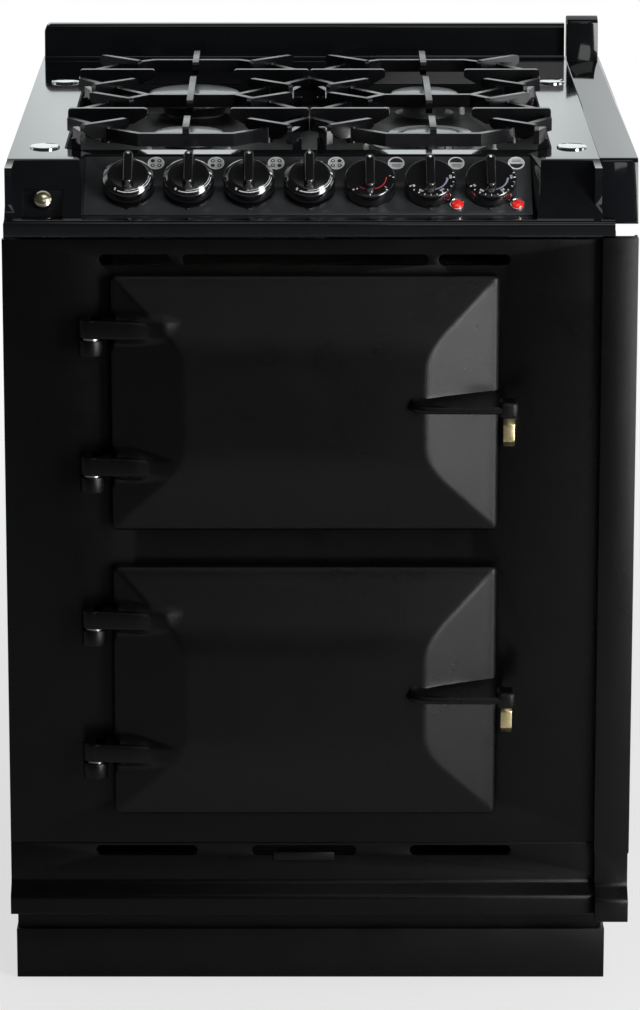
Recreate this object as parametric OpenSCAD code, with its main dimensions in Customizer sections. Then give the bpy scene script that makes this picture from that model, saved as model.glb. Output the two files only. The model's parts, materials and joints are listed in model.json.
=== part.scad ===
// Dual fuel range cooker: four gas burners over two electric ovens, in cast iron and sheet steel.
// X runs to the right, Y to the back and Z up. The floor is Z = 0 and the face of the front plate is Y = 0.

/* [Body] */
// Width of the front plate
body_w = 602; // [580:1:660]
// Depth from the face of the front plate to the back of the body
body_d = 640; // [620:1:720]
// Height of the hob surface above the floor
hob_z = 850; // [835:1:920]
// Thickness of the cast front plate
plate_t = 8; // [6:0.5:11]
// Thickness of the sheet steel panels
sheet = 1.5; // [1:0.1:2]
// Height of the space under the skirt, which the feet and the plinth fill
plinth_h = 88; // [75:1:110]
// Height of the lower strip of the plinth
kick_h = 53; // [40:1:60]
// How far the plinth stands back from the front plate
plinth_back = 37; // [25:1:60]
// Height of the skirt under the front plate
skirt_h = 71.5; // [66:0.5:80]
// How far the foot of the skirt flares forward
skirt_flare = 15; // [8:1:20]

/* [Doors] */
// From the left edge of the front plate to the doors
door_left = 106; // [100:1:115]
// From the doors to the right edge of the front plate
door_right = 115; // [108:1:125]
// From the bottom of the front plate to the lower door
door_low = 34.5; // [30:0.5:40]
// Space between the two doors
door_mid = 37; // [30:1:45]
// From the upper door to the top of the front plate
door_high = 33; // [30:1:40]
// How far a door covers the plate all round its opening
door_lap = 20; // [16:1:26]
// Gap between a door and the front plate, which the seal fills
door_gap = 5; // [4:0.5:7]
// Thickness of the rim of a door
door_rim = 9; // [7:0.5:12]
// Height of the crown of a door above its rim
door_rise = 31; // [22:1:36]
// Slope of the bevels round the crown
door_slope = 0.42; // [0.34:0.01:0.55]
// Depth of the insulated plug on the back of a door
plug_d = 30; // [20:1:40]
// Distance of the hinge axis outside the edge of a door
hinge_out = 18.4; // [16:0.2:22]
// Distance of the hinge axis in front of the front plate
hinge_y = 17; // [16.5:0.5:20]
// Radius of the hinge bosses
boss_r = 12.5; // [11:0.5:14]
// Radius of the hinge pins
pin_r = 5; // [4:0.5:6]
// Height of a hinge arm
arm_h = 19; // [16:1:22]
// Height of the lower hinge arm above the bottom of its door
arm_low = 59; // [50:1:70]
// Height of the upper hinge arm above the bottom of its door
arm_high = 197; // [180:1:205]
// Height of the handle above the bottom of its door
handle_z = 133; // [125:1:145]
// Height of the handle bar
handle_t = 6; // [5:0.5:10]
// Length of the handle bar from its tip to its end
handle_l = 103; // [85:1:120]
// Reach of the handle in front of the front plate
handle_y = 60; // [56:1:70]

/* [Hob] */
// From the left edge of the front plate to the edge of the hob
hob_inset = 3; // [1:0.5:5]
// Width of the flat hob casting
hob_w = 584; // [570:1:640]
// Thickness of the hob casting
cast_t = 7; // [5:0.5:8]
// Distance of the front edge of the flat hob behind the front plate
cheek_y = 52; // [46:1:58]
// Distance of the top edge of the control panel behind the front plate
fascia_y = 78; // [72:1:84]
// Distance of the bottom edge of the control panel behind the front plate
fascia_low_y = 13.5; // [11:0.5:16]
// Width of the control panel
fascia_w = 441; // [425:1:450]
// Height from the front rail to the hob surface
rail_drop = 49; // [44:1:52]
// Height of the front rail
rail_h = 17; // [14:1:20]
// Reach of the front rail in front of the front plate
rail_y = 12; // [10:0.5:16]
// Length of the flat hob from the front plate to the upstand
hob_back = 655; // [645:1:760]
// Thickness of the upstand at the back
upstand_t = 20; // [16:1:26]
// Height of the upstand above the hob
upstand_h = 39; // [30:1:60]
// Width of the infill strip beside the hob
strip_w = 38; // [32:1:44]
// Height of the end block of the infill strip above the hob
block_h = 49; // [40:1:70]
// Width of the side post
post_w = 35; // [30:1:40]

/* [Burners] */
// Distance of the burner centres from the middle of the cooker
burner_x = 122.5; // [118:0.5:124]
// Distance of the front burners behind the front plate
burner_front = 183; // [178:1:188]
// Distance from the front burners to the back burners
burner_pitch = 236; // [230:1:246]
// Width of the opening for the spill tray
tray_w = 486.5; // [480:0.5:496]
// Distance of the front edge of the spill tray behind the front plate
tray_front = 102; // [98:1:106]
// Length of the opening for the spill tray
tray_l = 387; // [375:1:400]
// Depth of the spill tray below the hob surface
tray_d = 22; // [16:1:26]
// Radius of the cap of the rapid burner
rapid_r = 49; // [44:1:52]
// Radius of the caps of the two semi-rapid burners
semi_r = 36; // [32:1:40]
// Radius of the dish of the triple crown burner
triple_r = 60; // [54:1:62]
// Height of the pan supports above the hob surface
support_h = 28; // [26:1:34]
// Thickness of the bars of the pan supports
bar_t = 7; // [5:0.5:8]

/* [Controls] */
// Distance between neighbouring knobs
knob_pitch = 59.4; // [56:0.2:61]
// Distance of the knob axes up the control panel
knob_s = 35; // [31:1:39]
// Radius of a knob
knob_r = 25.5; // [22:0.5:27]
// Height of the skirt of a knob
knob_h = 15.5; // [12:0.5:18]
// Width of the grip of a knob
grip_w = 11; // [9:0.5:14]
// Height of the grip above the skirt of a knob
grip_h = 7; // [5:0.5:9]
// How far a gas knob is pushed in before it turns
push = 5; // [3:0.5:6]
// Radius of the spindles
spindle_r = 3; // [2.5:0.1:4]
// Radius of the ignition button
button_r = 8.5; // [7:0.5:10]
// Travel of the ignition button
button_push = 3; // [2:0.5:4]

/* [Ovens] */
// Depth of the ovens
oven_d = 400; // [360:1:430]
// Thickness of the insulation round the ovens
wool = 20; // [12:1:24]
// Radius of the oven fan
fan_r = 72; // [60:1:76]
// Radius of the heating elements
element_r = 3.5; // [3:0.25:4.5]
// Number of levels for the shelves
levels = 3; // [2:1:3]

/* [Hidden] */
$fn = 48;

// Clearances
gap = 0.3;
run = 0.05;
over = 1;

// Body levels
plate_x0 = -body_w / 2;
plate_x1 = body_w / 2;
plate_z0 = plinth_h + skirt_h;
rail_top = hob_z - rail_drop;
rail_low = rail_top - rail_h;
plate_gap = 4;
plate_z1 = rail_low - plate_gap;
seam = 0.2;
side_in = 1;
side_flange = 24;
side_top = rail_low + 10;
wall_z = side_top + gap;
base_in = 3;
base_y = plinth_back + 9;

// Door places
door_x0 = plate_x0 + door_left;
door_w = body_w - door_left - door_right;
door_h = (plate_z1 - plate_z0 - door_low - door_mid - door_high) / 2;
door_z_bottom = plate_z0 + door_low;
door_z_top = door_z_bottom + door_h + door_mid;
DOOR_Z = [door_z_bottom, door_z_top];
hinge_x = door_x0 - hinge_out;
front_y = -door_gap - door_rim;
collar_h = 1.8;
arm_reach = 92;
arm_fade = 34;
pin_top = 13;
boss_h = 15;
handle_w = 19;
handle_end_h = 17;
handle_tip_x = door_w - handle_l + handle_w - 2;

// Oven places
oven_w = door_w - 2 * door_lap;
oven_h = door_h - 2 * door_lap;
oven_x0 = door_x0 + door_lap;
oven_y0 = plate_t + sheet;
wool_top = door_z_top + door_h - door_lap + wool;
plug_m = 4;
plug_clear = 6;
door_wall = 9;
liner_flange = 10;

// Hob places
hob_x0 = plate_x0 + hob_inset;
hob_x1 = hob_x0 + hob_w;
cheek_angle = atan2(rail_drop, cheek_y + 3);
cheek_low_y = -3;
fascia_angle = atan2(rail_drop, fascia_y - fascia_low_y);
fascia_l = norm([rail_drop, fascia_y - fascia_low_y]);
fascia_x0 = -1.5 - fascia_w / 2;
fascia_x1 = -1.5 + fascia_w / 2;
panel_t = 3;
panel_s = 1;
ledge_w = 6;
ledge_t = 3;
tray_x0 = -1.25 - tray_w / 2;
tray_x1 = tray_x0 + tray_w;
tray_z = hob_z - tray_d;
burner_back = burner_front + burner_pitch;
strip_x0 = hob_x1 + gap;
strip_x1 = strip_x0 + strip_w;
block_l = 38;
strip_front = cheek_y + 4;
strip_low = rail_low + 3;

// Burners in the order front left, front right, back left, back right
BURNERS = [
    [-burner_x, burner_front, semi_r],
    [burner_x, burner_front, triple_r],
    [-burner_x, burner_back, rapid_r],
    [burner_x, burner_back, semi_r]
];
cap_top = 5;
cap_t = 7;
cup_r = 26;
flange_r = 31;
flange_t = 2;
port_n = 30;
jet_drop = 50;
jet_top = 2;
probe_r = 3.2;

// Pan supports
frame_top = support_h - 6.5;
frame_h = 13;
finger_h = 16;
leg_w = 9;
leg_x = tray_x1 - gap - sheet - 3 - leg_w / 2 - burner_x;
leg_y = 72;
link_x = 103;
link_y = 95;
rear_leg_x = 99;
rear_leg_y = 50;
boss_x = 80;
boss_y = 74.5;

// Controls
KNOBS = [for (i = [-3:3]) i * knob_pitch];
bezel_t = 1.5;
gas_lift = bezel_t + push + 0.5;
electric_lift = bezel_t + gap;
tap_l = 46;
tap_r = 11;
manifold_r = 9;
neon_r = 7.5;
neon_s = 14;
pocket_y = 25;
pocket_w = 40;
button_x = hob_x0 + 37;
pocket_angle = 32;
pocket_z = hob_z - 25;

// Fan
fan_y = oven_y0 + oven_d;
fan_x = oven_x0 + oven_w / 2;
fan_z = door_z_bottom + door_h / 2;
cover_gap = 34;
shaft_r = 3;

// Corner of an outline with a round of radius r
function unit(v) = v / norm(v);
function turn(a) = a > 180 ? a - 360 : a < -180 ? a + 360 : a;
function corner(a, b, c, r, n) =
    let (u = unit(a - b), v = unit(c - b), half = acos(max(-1, min(1, u * v))) / 2)
    let (m = b + unit(u + v) * r / sin(half), p = b + u * r / tan(half), q = b + v * r / tan(half))
    let (a0 = atan2(p[1] - m[1], p[0] - m[0]), a1 = atan2(q[1] - m[1], q[0] - m[0]))
    [for (k = [0:n]) m + r * [cos(a0 + turn(a1 - a0) * k / n), sin(a0 + turn(a1 - a0) * k / n)]];

// Outline with one radius for each point, and a sharp corner where the radius is 0
function rounded(points, radii, n = 5) =
    [for (i = [0:len(points) - 1])
        each (radii[i] == 0 ? [points[i]] : corner(
            points[(i + len(points) - 1) % len(points)], points[i],
            points[(i + 1) % len(points)], radii[i], n))];

// Convex outline moved outwards by d
function grow(points, d) =
    [for (i = [0:len(points) - 1])
        let (n = len(points), b = points[i])
        let (u = unit(points[(i + n - 1) % n] - b), v = unit(points[(i + 1) % n] - b))
        b - unit(u + v) * d / sin(acos(u * v) / 2)];

// Rectangle with round corners
module plate2d(x0, y0, x1, y1, r) {
    translate([x0 + r, y0]) square([x1 - x0 - 2 * r, y1 - y0]);
    translate([x0, y0 + r]) square([x1 - x0, y1 - y0 - 2 * r]);
    for (x = [x0 + r, x1 - r], y = [y0 + r, y1 - r])
        translate([x, y]) circle(r);
}

// Slot with round ends
module slot2d(x0, x1, y0, y1) {
    r = (y1 - y0) / 2;
    translate([x0 + r, y0]) square([x1 - x0 - 2 * r, y1 - y0]);
    for (x = [x0 + r, x1 - r])
        translate([x, y0 + r]) circle(r);
}

// Bar of width w from p to q in plan
module bar2d(p, q, w) {
    d = q - p;
    translate(p) rotate(atan2(d[1], d[0])) translate([-w / 3, -w / 2]) square([norm(d) + w / 1.5, w]);
}

// Outline in X and Z extruded from y0 to y1
module upright(y0, y1) {
    translate([0, y1, 0]) rotate([90, 0, 0]) linear_extrude(y1 - y0) children();
}

// Outline in Y and Z extruded from x0 to x1
module across(x0, x1) {
    translate([x0, 0, 0]) rotate([90, 0, 90]) linear_extrude(x1 - x0) children();
}

// Place on the control panel: x across, s up the slope from its bottom edge
module on_fascia(x, s) {
    translate([x, fascia_low_y, rail_top]) rotate([fascia_angle, 0, 0]) translate([0, s, 0]) children();
}

// Round rod through a list of points
module rod(points, r) {
    for (i = [0:len(points) - 2])
        rod_run(points[i], points[i + 1], r);
    for (i = [1:1:len(points) - 2])
        translate(points[i]) sphere(r, $fn = 24);
}

module rod_run(p, q, r) {
    d = q - p;
    translate(p) rotate([0, acos(d[2] / norm(d)), atan2(d[1], d[0])]) cylinder(h = norm(d), r = r, $fn = 24);
}

module box(x0, y0, z0, x1, y1, z1) {
    translate([x0, y0, z0]) cube([x1 - x0, y1 - y0, z1 - z0]);
}

// Levelling feet: a pad, a threaded stud and a lock nut under each corner of the base
foot_r = 22;
stud_r = 6;
pad_h = 8;
base_z = plinth_h - 2;
FEET = [for (x = [plate_x0 + 45, plate_x1 - 45], y = [110, body_d - 50]) [x, y]];

module levelling_feet() {
    color("dimgray")
    for (f = FEET)
        translate([f[0], f[1], 0]) {
            rotate_extrude() polygon([
                [0, 0], [foot_r, 0], [foot_r, 3], [foot_r - 6, pad_h], [stud_r, pad_h], [0, pad_h]
            ]);
            cylinder(h = base_z + 12, r = stud_r);
            translate([0, 0, base_z - 8]) cylinder(h = 8, r = 11, $fn = 6);
        }
}

// Base pan: a pressed tray with a turned-down flange, carried on the feet
module base_pan() {
    x0 = plate_x0 + base_in;
    x1 = plate_x1 - base_in;
    y1 = body_d - sheet - gap;
    color([0.06, 0.06, 0.065])
    difference() {
        union() {
            box(x0, base_y, base_z, x1, y1, base_z + sheet);
            box(x0, base_y, kick_h + gap, x1, base_y + sheet, base_z);
            for (x = [x0, x1 - sheet])
                box(x, base_y, kick_h + gap, x + sheet, y1, base_z);
        }
        for (f = FEET)
            translate([f[0], f[1], base_z - over]) cylinder(h = sheet + 2 * over, r = stud_r + gap);
    }
}

// Plinth: kick strip with a top ledge and returned ends
kick_return = 120;
module plinth() {
    color([0.06, 0.06, 0.065]) {
        x0 = plate_x0 + 2;
        x1 = plate_x1;
        box(x0, plinth_back, over, x1, plinth_back + sheet, kick_h);
        box(x0, plinth_back, kick_h - sheet, x1, base_y + 14, kick_h);
        for (x = [x0, x1 - sheet])
            box(x, plinth_back, over, x + sheet, plinth_back + kick_return, kick_h);
    }
}

// Side panels, folded inwards behind the front plate and under the walls of the hob casting
// The right one is notched for the front end of the infill strip
module side_panel(left) {
    x = left ? plate_x0 + side_in : plate_x1 - side_in - sheet;
    f = left ? plate_x0 + side_in : plate_x1 - side_in - side_flange;
    y0 = plate_t + gap;
    color([0.07, 0.07, 0.075]) {
        difference() {
            box(x, y0, plinth_h, x + sheet, body_d, side_top);
            if (!left)
                box(x - over, y0 - over, strip_low - gap,
                    x + sheet + over, strip_front + 4, side_top + over);
        }
        box(f, y0, plinth_h, f + side_flange, y0 + sheet, plate_z1);
        box(f, strip_front + 4, side_top - sheet, f + side_flange, body_d, side_top);
    }
}

// Rear panel with vent slots, the fan motor window and the gas inlet hole
vent_n = 12;
vent_w = 8;
module rear_vents(z, h) {
    for (i = [0:vent_n - 1])
        translate([-110 + i * 20, z]) rotate(90) slot2d(0, h, 0, vent_w);
}

module rear_panel() {
    rear_w = body_w - 2 * (side_in + sheet + gap);
    rear_z0 = base_z + sheet + gap;
    color("silver")
    difference() {
        upright(body_d - sheet, body_d)
            difference() {
                translate([-rear_w / 2, rear_z0])
                    square([rear_w, side_top - sheet - gap - rear_z0]);
                rear_vents(rail_low - 70, 46);
                rear_vents(plinth_h + 30, 34);
                translate([inlet_x, inlet_z]) circle(manifold_r + 4);
            }
    }
}

// Front plate: one casting with the two oven openings and the row of vents
module front_plate() {
    color([0.05, 0.05, 0.055])
    upright(0, plate_t)
        difference() {
            translate([plate_x0, plate_z0 + seam]) square([body_w, plate_z1 - plate_z0 - seam]);
            for (z = DOOR_Z)
                plate2d(oven_x0, z + door_lap, oven_x0 + oven_w, z + door_lap + oven_h, 8);
            vz = plate_z1 - 26;
            slot2d(door_x0 - 11, door_x0 + 59, vz, vz + 11);
            slot2d(door_x0 + 70, door_x0 + door_w - 70, vz, vz + 11);
            slot2d(door_x0 + door_w - 60, door_x0 + door_w + 11, vz, vz + 11);
        }
}

// Skirt: flat above, with a flared foot and a row of slots
slot_h = 10.5;
slot_z = plate_z0 - 3.3 - slot_h;
flare_z = plinth_h + 30;
flare_drop = 11;
module skirt_profile() {
    t = plate_t;
    polygon(rounded([
        [0, plate_z0 - seam], [0, flare_z], [-skirt_flare, flare_z - flare_drop], [-skirt_flare, plinth_h],
        [t - skirt_flare, plinth_h], [t - skirt_flare, flare_z - flare_drop - 2], [t, flare_z - 3],
        [t, plate_z0 - seam]
    ], [0, 6, 6, 1.5, 0, 3, 3, 0]));
}

module skirt() {
    color([0.05, 0.05, 0.055])
    difference() {
        across(plate_x0, plate_x1) skirt_profile();
        upright(-over, plate_t + over) {
            slot2d(door_x0 - 20, door_x0 + 82, slot_z, slot_z + slot_h);
            slot2d(door_x0 + 137, door_x0 + 242, slot_z, slot_z + slot_h);
            slot2d(door_x0 + 296, door_x0 + 398, slot_z, slot_z + slot_h);
        }
    }
}

// Tab of the sliding damper behind the middle slot of the skirt
module skirt_tab() {
    tab_x = door_x0 + 159;
    tab_w = 61;
    color([0.06, 0.06, 0.065]) {
        box(tab_x, -2 - gap, slot_z - 4.5, tab_x + tab_w, -gap, slot_z + 4);
        box(tab_x + 4, -gap - over, slot_z + 1, tab_x + tab_w - 4, plate_t + gap + 2, slot_z + 4);
        box(tab_x + 4, plate_t + gap, slot_z - 6, tab_x + tab_w - 4, plate_t + gap + 2, slot_z + 4);
    }
}

// Side post: a channel down the right of the front plate, with a flared foot like the skirt
post_y = 12;
module side_post() {
    x0 = plate_x1 - 15;
    x1 = x0 + post_w;
    t = 3;
    foot_z = plate_z0 - 8;
    color([0.06, 0.06, 0.065])
    difference() {
        union() {
            box(x0, -post_y, foot_z, x1, -gap, plate_z1 + plate_gap - gap);
            across(x0 + 1, x1 - 1) polygon(rounded([
                [-post_y + 1, foot_z], [-post_y + 1, flare_z],
                [-post_y - skirt_flare, flare_z - flare_drop], [-post_y - skirt_flare, plinth_h - 4],
                [-skirt_flare - gap, plinth_h - 4], [-skirt_flare - gap, flare_z - flare_drop],
                [-gap, flare_z + 3], [-gap, foot_z]
            ], [0, 6, 6, 1.5, 0, 0, 0, 0]));
            box(x1 - t, -post_y, foot_z, x1, 5, plate_z1 + plate_gap - gap);
        }
        box(x0 + t, -post_y + t, foot_z + 6, x1 - t, 2 * over, plate_z1 - 3);
        box(x0 - over, -post_y - over, foot_z, x1 + over, -post_y + 1, foot_z + 2);
    }
}

// Outline of the hob casting across its length: top, sloping front and rail
module cheek_profile() {
    inner = cheek_y + cast_t * tan(cheek_angle / 2);
    polygon(rounded([
        [hob_back + upstand_t - 2, hob_z], [cheek_y, hob_z], [cheek_low_y, rail_top],
        [-rail_y, rail_top], [-rail_y, rail_low], [5, rail_low], [5, rail_top - 7],
        [cheek_low_y + 11, rail_top - 2], [inner, hob_z - cast_t],
        [hob_back + upstand_t - 2, hob_z - cast_t]
    ], [0, 9, 2, 6, 3, 0, 0, 2, 0, 0]));
}

// Solid cheek between the sloping front and the back of the control panel
module cheek_fill() {
    back = ledge_t + panel_t;
    s = [cos(fascia_angle), sin(fascia_angle)];
    n = [-sin(fascia_angle), cos(fascia_angle)];
    low = [fascia_low_y, rail_top];
    polygon([
        [fascia_y + 7, hob_z - 1], [cheek_y + 4, hob_z - 1], [cheek_low_y + 2, rail_top],
        [cheek_low_y + 9, rail_top - 8], low - back * n, low + (fascia_l + 2) * s - back * n
    ]);
}

// Room over the control panel, with drawn side walls that run out at the bottom
module fascia_room() {
    top = 34;
    low = -1;
    flare = 20;
    side = 0.3;
    front = -30;
    back = fascia_l + 0.4;
    difference() {
        on_fascia(0, 0) polyhedron([
            [fascia_x0 + side, front, low], [fascia_x1 - side, front, low],
            [fascia_x1 - side, back, low], [fascia_x0 + side, back, low],
            [fascia_x0 - 3, front, top], [fascia_x1 + 3, front, top],
            [fascia_x1 + flare, back + 14, top], [fascia_x0 - flare, back + 14, top]
        ], [
            [0, 1, 2], [0, 2, 3], [4, 7, 6], [4, 6, 5], [0, 5, 1], [0, 4, 5],
            [1, 5, 6], [1, 6, 2], [2, 6, 7], [2, 7, 3], [3, 7, 4], [3, 4, 0]
        ]);
        box(fascia_x0 - 2 * flare, -60, rail_top - 80, fascia_x1 + 2 * flare, 200, rail_top);
    }
}

// Pocket in a cheek with a steeper face
module pocket(x) {
    drop = pocket_z - rail_top;
    across(x - pocket_w / 2, x + pocket_w / 2) polygon([
        [pocket_y, pocket_z], [pocket_y - drop * tan(pocket_angle), rail_top],
        [-40, rail_top], [-40, pocket_z]
    ]);
}

// Place on the face of the pocket, with Z out of the face
module on_pocket() {
    t = 12.5;
    translate([button_x, pocket_y - t * sin(pocket_angle), pocket_z - t * cos(pocket_angle)])
        rotate([90 - pocket_angle, 0, 0]) children();
}

up_r = 9;
module hob_casting() {
    up_x1 = hob_x1 - over;
    color([0.05, 0.05, 0.06])
    difference() {
        union() {
            across(hob_x0, hob_x1) cheek_profile();
            across(hob_x1 - over, hob_x1 + 12) intersection() {
                cheek_profile();
                translate([-rail_y, rail_low + 2]) square([17, rail_h - 2]);
            }
            across(hob_x0 + over, fascia_x0 + 8) cheek_fill();
            across(fascia_x1 - 8, hob_x1 - over) cheek_fill();
            on_fascia(0, 0)
                box(fascia_x0 - 6, -6, -panel_t - ledge_t, fascia_x1 + 6, fascia_l + 2, -panel_t);
            box(fascia_x0 - 5, -over, rail_top - ledge_w, fascia_x1 + 5, fascia_low_y - 0.5, rail_top);
            for (x = [hob_x0, hob_x1 - cast_t])
                box(x, 10, wall_z, x + cast_t, hob_back + upstand_t - 2, hob_z - over);
            across(hob_x0 + 2, up_x1) polygon(rounded([
                [hob_back - 6, hob_z - 2], [hob_back, hob_z + 2], [hob_back + 3, hob_z + upstand_h],
                [hob_back + upstand_t, hob_z + upstand_h], [hob_back + upstand_t, wall_z],
                [hob_back + upstand_t - cast_t, wall_z], [hob_back + upstand_t - cast_t, hob_z - 2]
            ], [0, 5, 5, 4, 0, 0, 0]));
        }
        fascia_room();
        on_fascia(0, 0) {
            box(fascia_x0, panel_s - gap, -panel_t, fascia_x1, fascia_l - 3, panel_t);
            box(fascia_x0 + ledge_w, ledge_w, -20, fascia_x1 - ledge_w, fascia_l - 3 - ledge_w, over);
        }
        translate([0, 0, hob_z - cast_t - over]) linear_extrude(cast_t + 2 * over)
            plate2d(tray_x0, tray_front, tray_x1, tray_front + tray_l, 10);
        pocket(button_x);
        on_pocket() translate([0, 0, -40]) cylinder(h = 60, r = 4 + run);
        upright(hob_back - 20, hob_back + upstand_t + over)
            translate([hob_x0 + 2, hob_z + upstand_h]) difference() {
                translate([-over, -up_r]) square([up_r + over, up_r + over]);
                translate([up_r, -up_r]) circle(up_r);
            }
    }
}

// Infill strip beside the hob, with a sloping front end and a crowned end block
module side_strip() {
    color([0.05, 0.05, 0.06]) {
        across(strip_x0, strip_x1) polygon(rounded([
            [hob_back + upstand_t - 2, hob_z], [strip_front, hob_z], [strip_front - 17, strip_low],
            [strip_front - 11, strip_low], [strip_front + 4, hob_z - cast_t],
            [hob_back + upstand_t - 2, hob_z - cast_t]
        ], [0, 6, 2, 0, 0, 0]));
        across(strip_x0 + 1, strip_x1 - 3)
            polygon(rounded([
                [hob_back + upstand_t - block_l, hob_z - over],
                [hob_back + upstand_t - block_l + 5, hob_z + block_h - 4],
                [hob_back + upstand_t - block_l / 2, hob_z + block_h],
                [hob_back + upstand_t, hob_z + block_h - 4], [hob_back + upstand_t, hob_z - over]
            ], [0, 5, 10, 5, 0]));
        box(strip_x0, strip_front + 20, hob_z - 24, strip_x0 + 4, hob_back, hob_z - over);
    }
}

// Domed caps over the hob fixings
cap_out = 20;
cap_back = 12;
CAPS = [
    for (x = [tray_x0 - cap_out, tray_x1 + cap_out], y = [tray_front, tray_front + tray_l]) [x, y + cap_back]
];
module fixing_caps() {
    r = cap_out - 5;
    color("silver")
    for (p = CAPS)
        translate([p[0], p[1], hob_z]) rotate_extrude()
            polygon([[0, 0], [r, 0], [r, 1.2], [r - 1, 2], [r / 2, 2.7], [0, 2.9]]);
}

// Control panel in its frame, with holes for the spindles and the lights
module control_panel() {
    color([0.09, 0.09, 0.1])
    on_fascia(0, 0)
        translate([0, 0, -panel_t]) linear_extrude(panel_t)
            difference() {
                translate([fascia_x0 + gap, panel_s])
                    square([fascia_w - 2 * gap, fascia_l - 3 - gap - panel_s]);
                for (x = KNOBS)
                    translate([x, knob_s]) circle(spindle_r + 2);
                for (i = [5, 6])
                    translate([KNOBS[i] + 26, neon_s]) circle(neon_r - 1.5);
            }
}

// Fixed ring with an index mark under each knob
module knob_bezels() {
    color([0.04, 0.04, 0.045])
    for (x = KNOBS)
        on_fascia(x, knob_s) linear_extrude(bezel_t) difference() {
            union() {
                circle(knob_r);
                polygon([[-5, -knob_r + 1], [0, -knob_r - 3.2], [5, -knob_r + 1]]);
            }
            circle(spindle_r + 2);
        }
}

// Neon indicator lights with a bright bezel
module neon_lights() {
    for (i = [5, 6])
        on_fascia(KNOBS[i] + 26, neon_s) {
            color("red") rotate_extrude() polygon([
                [0, -9], [neon_r - 2, -9], [neon_r - 2, 0], [neon_r, 0], [neon_r, 3], [neon_r - 1, 3],
                [neon_r - 1, 3.6], [neon_r - 4, 5], [0, 5.6]
            ]);
        }
}

// Knob standing on z = 0 of its own place, with a bore for its spindle
module knob(bore) {
    color([0.04, 0.04, 0.045])
    difference() {
        union() {
            rotate_extrude() polygon([
                [0, 0], [knob_r - 1, 0], [knob_r, 1], [knob_r - 0.6, knob_h - 4], [knob_r - 1.6, knob_h - 2],
                [knob_r - 4, knob_h - 0.6], [knob_r - 6.5, knob_h], [knob_r - 8, knob_h - 1], [0, knob_h - 1]
            ]);
            translate([0, 0, knob_h - 2]) linear_extrude(grip_h + 2) {
                translate([-grip_w / 2, -knob_r + 7]) square([grip_w, 2 * knob_r - 7 - grip_w / 2]);
                translate([0, knob_r - grip_w / 2]) circle(grip_w / 2);
            }
        }
        translate([0, 0, -over]) cylinder(h = bore + over, r = spindle_r + run);
        translate([0, 0, -over]) difference() {
            cylinder(h = knob_h - 4 + over, r = knob_r - 3);
            cylinder(h = knob_h, r = 7);
        }
    }
}

module gas_knob(i) {
    on_fascia(KNOBS[i], knob_s) translate([0, 0, gas_lift]) knob(knob_h);
}

module electric_knob(i) {
    on_fascia(KNOBS[i], knob_s) translate([0, 0, electric_lift]) knob(knob_h);
}

// Levels below the face of the control panel: bodies, blocks and necks of the gas taps
tap_top = panel_t + 16 + gap;
tap_low = panel_t + tap_l;
neck_l = 8;
neck_r = 7;
block_w = 28;
block_top = tap_low - 20;
block_low = tap_low - 6;

// Sprung stem of a gas tap with its collar, which the knob turns on
module tap_stem(i) {
    color("goldenrod")
    on_fascia(KNOBS[i], knob_s) {
        translate([0, 0, -26]) cylinder(h = 26 + gas_lift + knob_h - gap, r = spindle_r);
        translate([0, 0, push - tap_top + gap]) cylinder(h = 2, r = spindle_r + 1.5);
    }
}

// Bodies of the gas taps, bored for their stems and hung from the panel on brackets
module gas_taps() {
    color("goldenrod")
    for (i = [0:3])
        on_fascia(KNOBS[i], knob_s) difference() {
            union() {
                translate([0, 0, -tap_low]) cylinder(h = tap_low - tap_top, r = tap_r);
                translate([-block_w / 2, -9, -block_low]) cube([block_w, 18, block_low - block_top]);
                translate([0, 0, -tap_low - neck_l]) cylinder(h = neck_l + over, r = neck_r);
            }
            translate([0, 0, -tap_low + 9]) cylinder(h = tap_low, r = spindle_r + run);
        }
    color("silver")
    for (i = [0:3])
        on_fascia(KNOBS[i], knob_s) for (x = [-block_w / 2, block_w / 2 - 4])
            translate([x, -6, -block_top]) cube([4, 12, block_top - panel_t]);
}

// Manifold behind the taps, with the supply pipe to the inlet at the back
manifold_n = tap_low + neck_l + manifold_r;
manifold_y = fascia_low_y + knob_s * cos(fascia_angle) + manifold_n * sin(fascia_angle);
manifold_z = rail_top + knob_s * sin(fascia_angle) - manifold_n * cos(fascia_angle);
inlet_x = plate_x0 + 45;
inlet_z = manifold_z;
module gas_manifold() {
    color("silver") {
        difference() {
            rod([
                [KNOBS[3] + 18, manifold_y, manifold_z], [inlet_x, manifold_y, manifold_z],
                [inlet_x, body_d + 24, inlet_z]
            ], manifold_r);
            translate([inlet_x, body_d - 10, inlet_z]) rotate([-90, 0, 0]) cylinder(h = 60, r = 6.5);
        }
        translate([inlet_x, body_d + gap, inlet_z]) rotate([-90, 0, 0])
            difference() {
                cylinder(h = 12, r = 15, $fn = 6);
                translate([0, 0, -over]) cylinder(h = 20, r = manifold_r - over);
            }
    }
}

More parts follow.
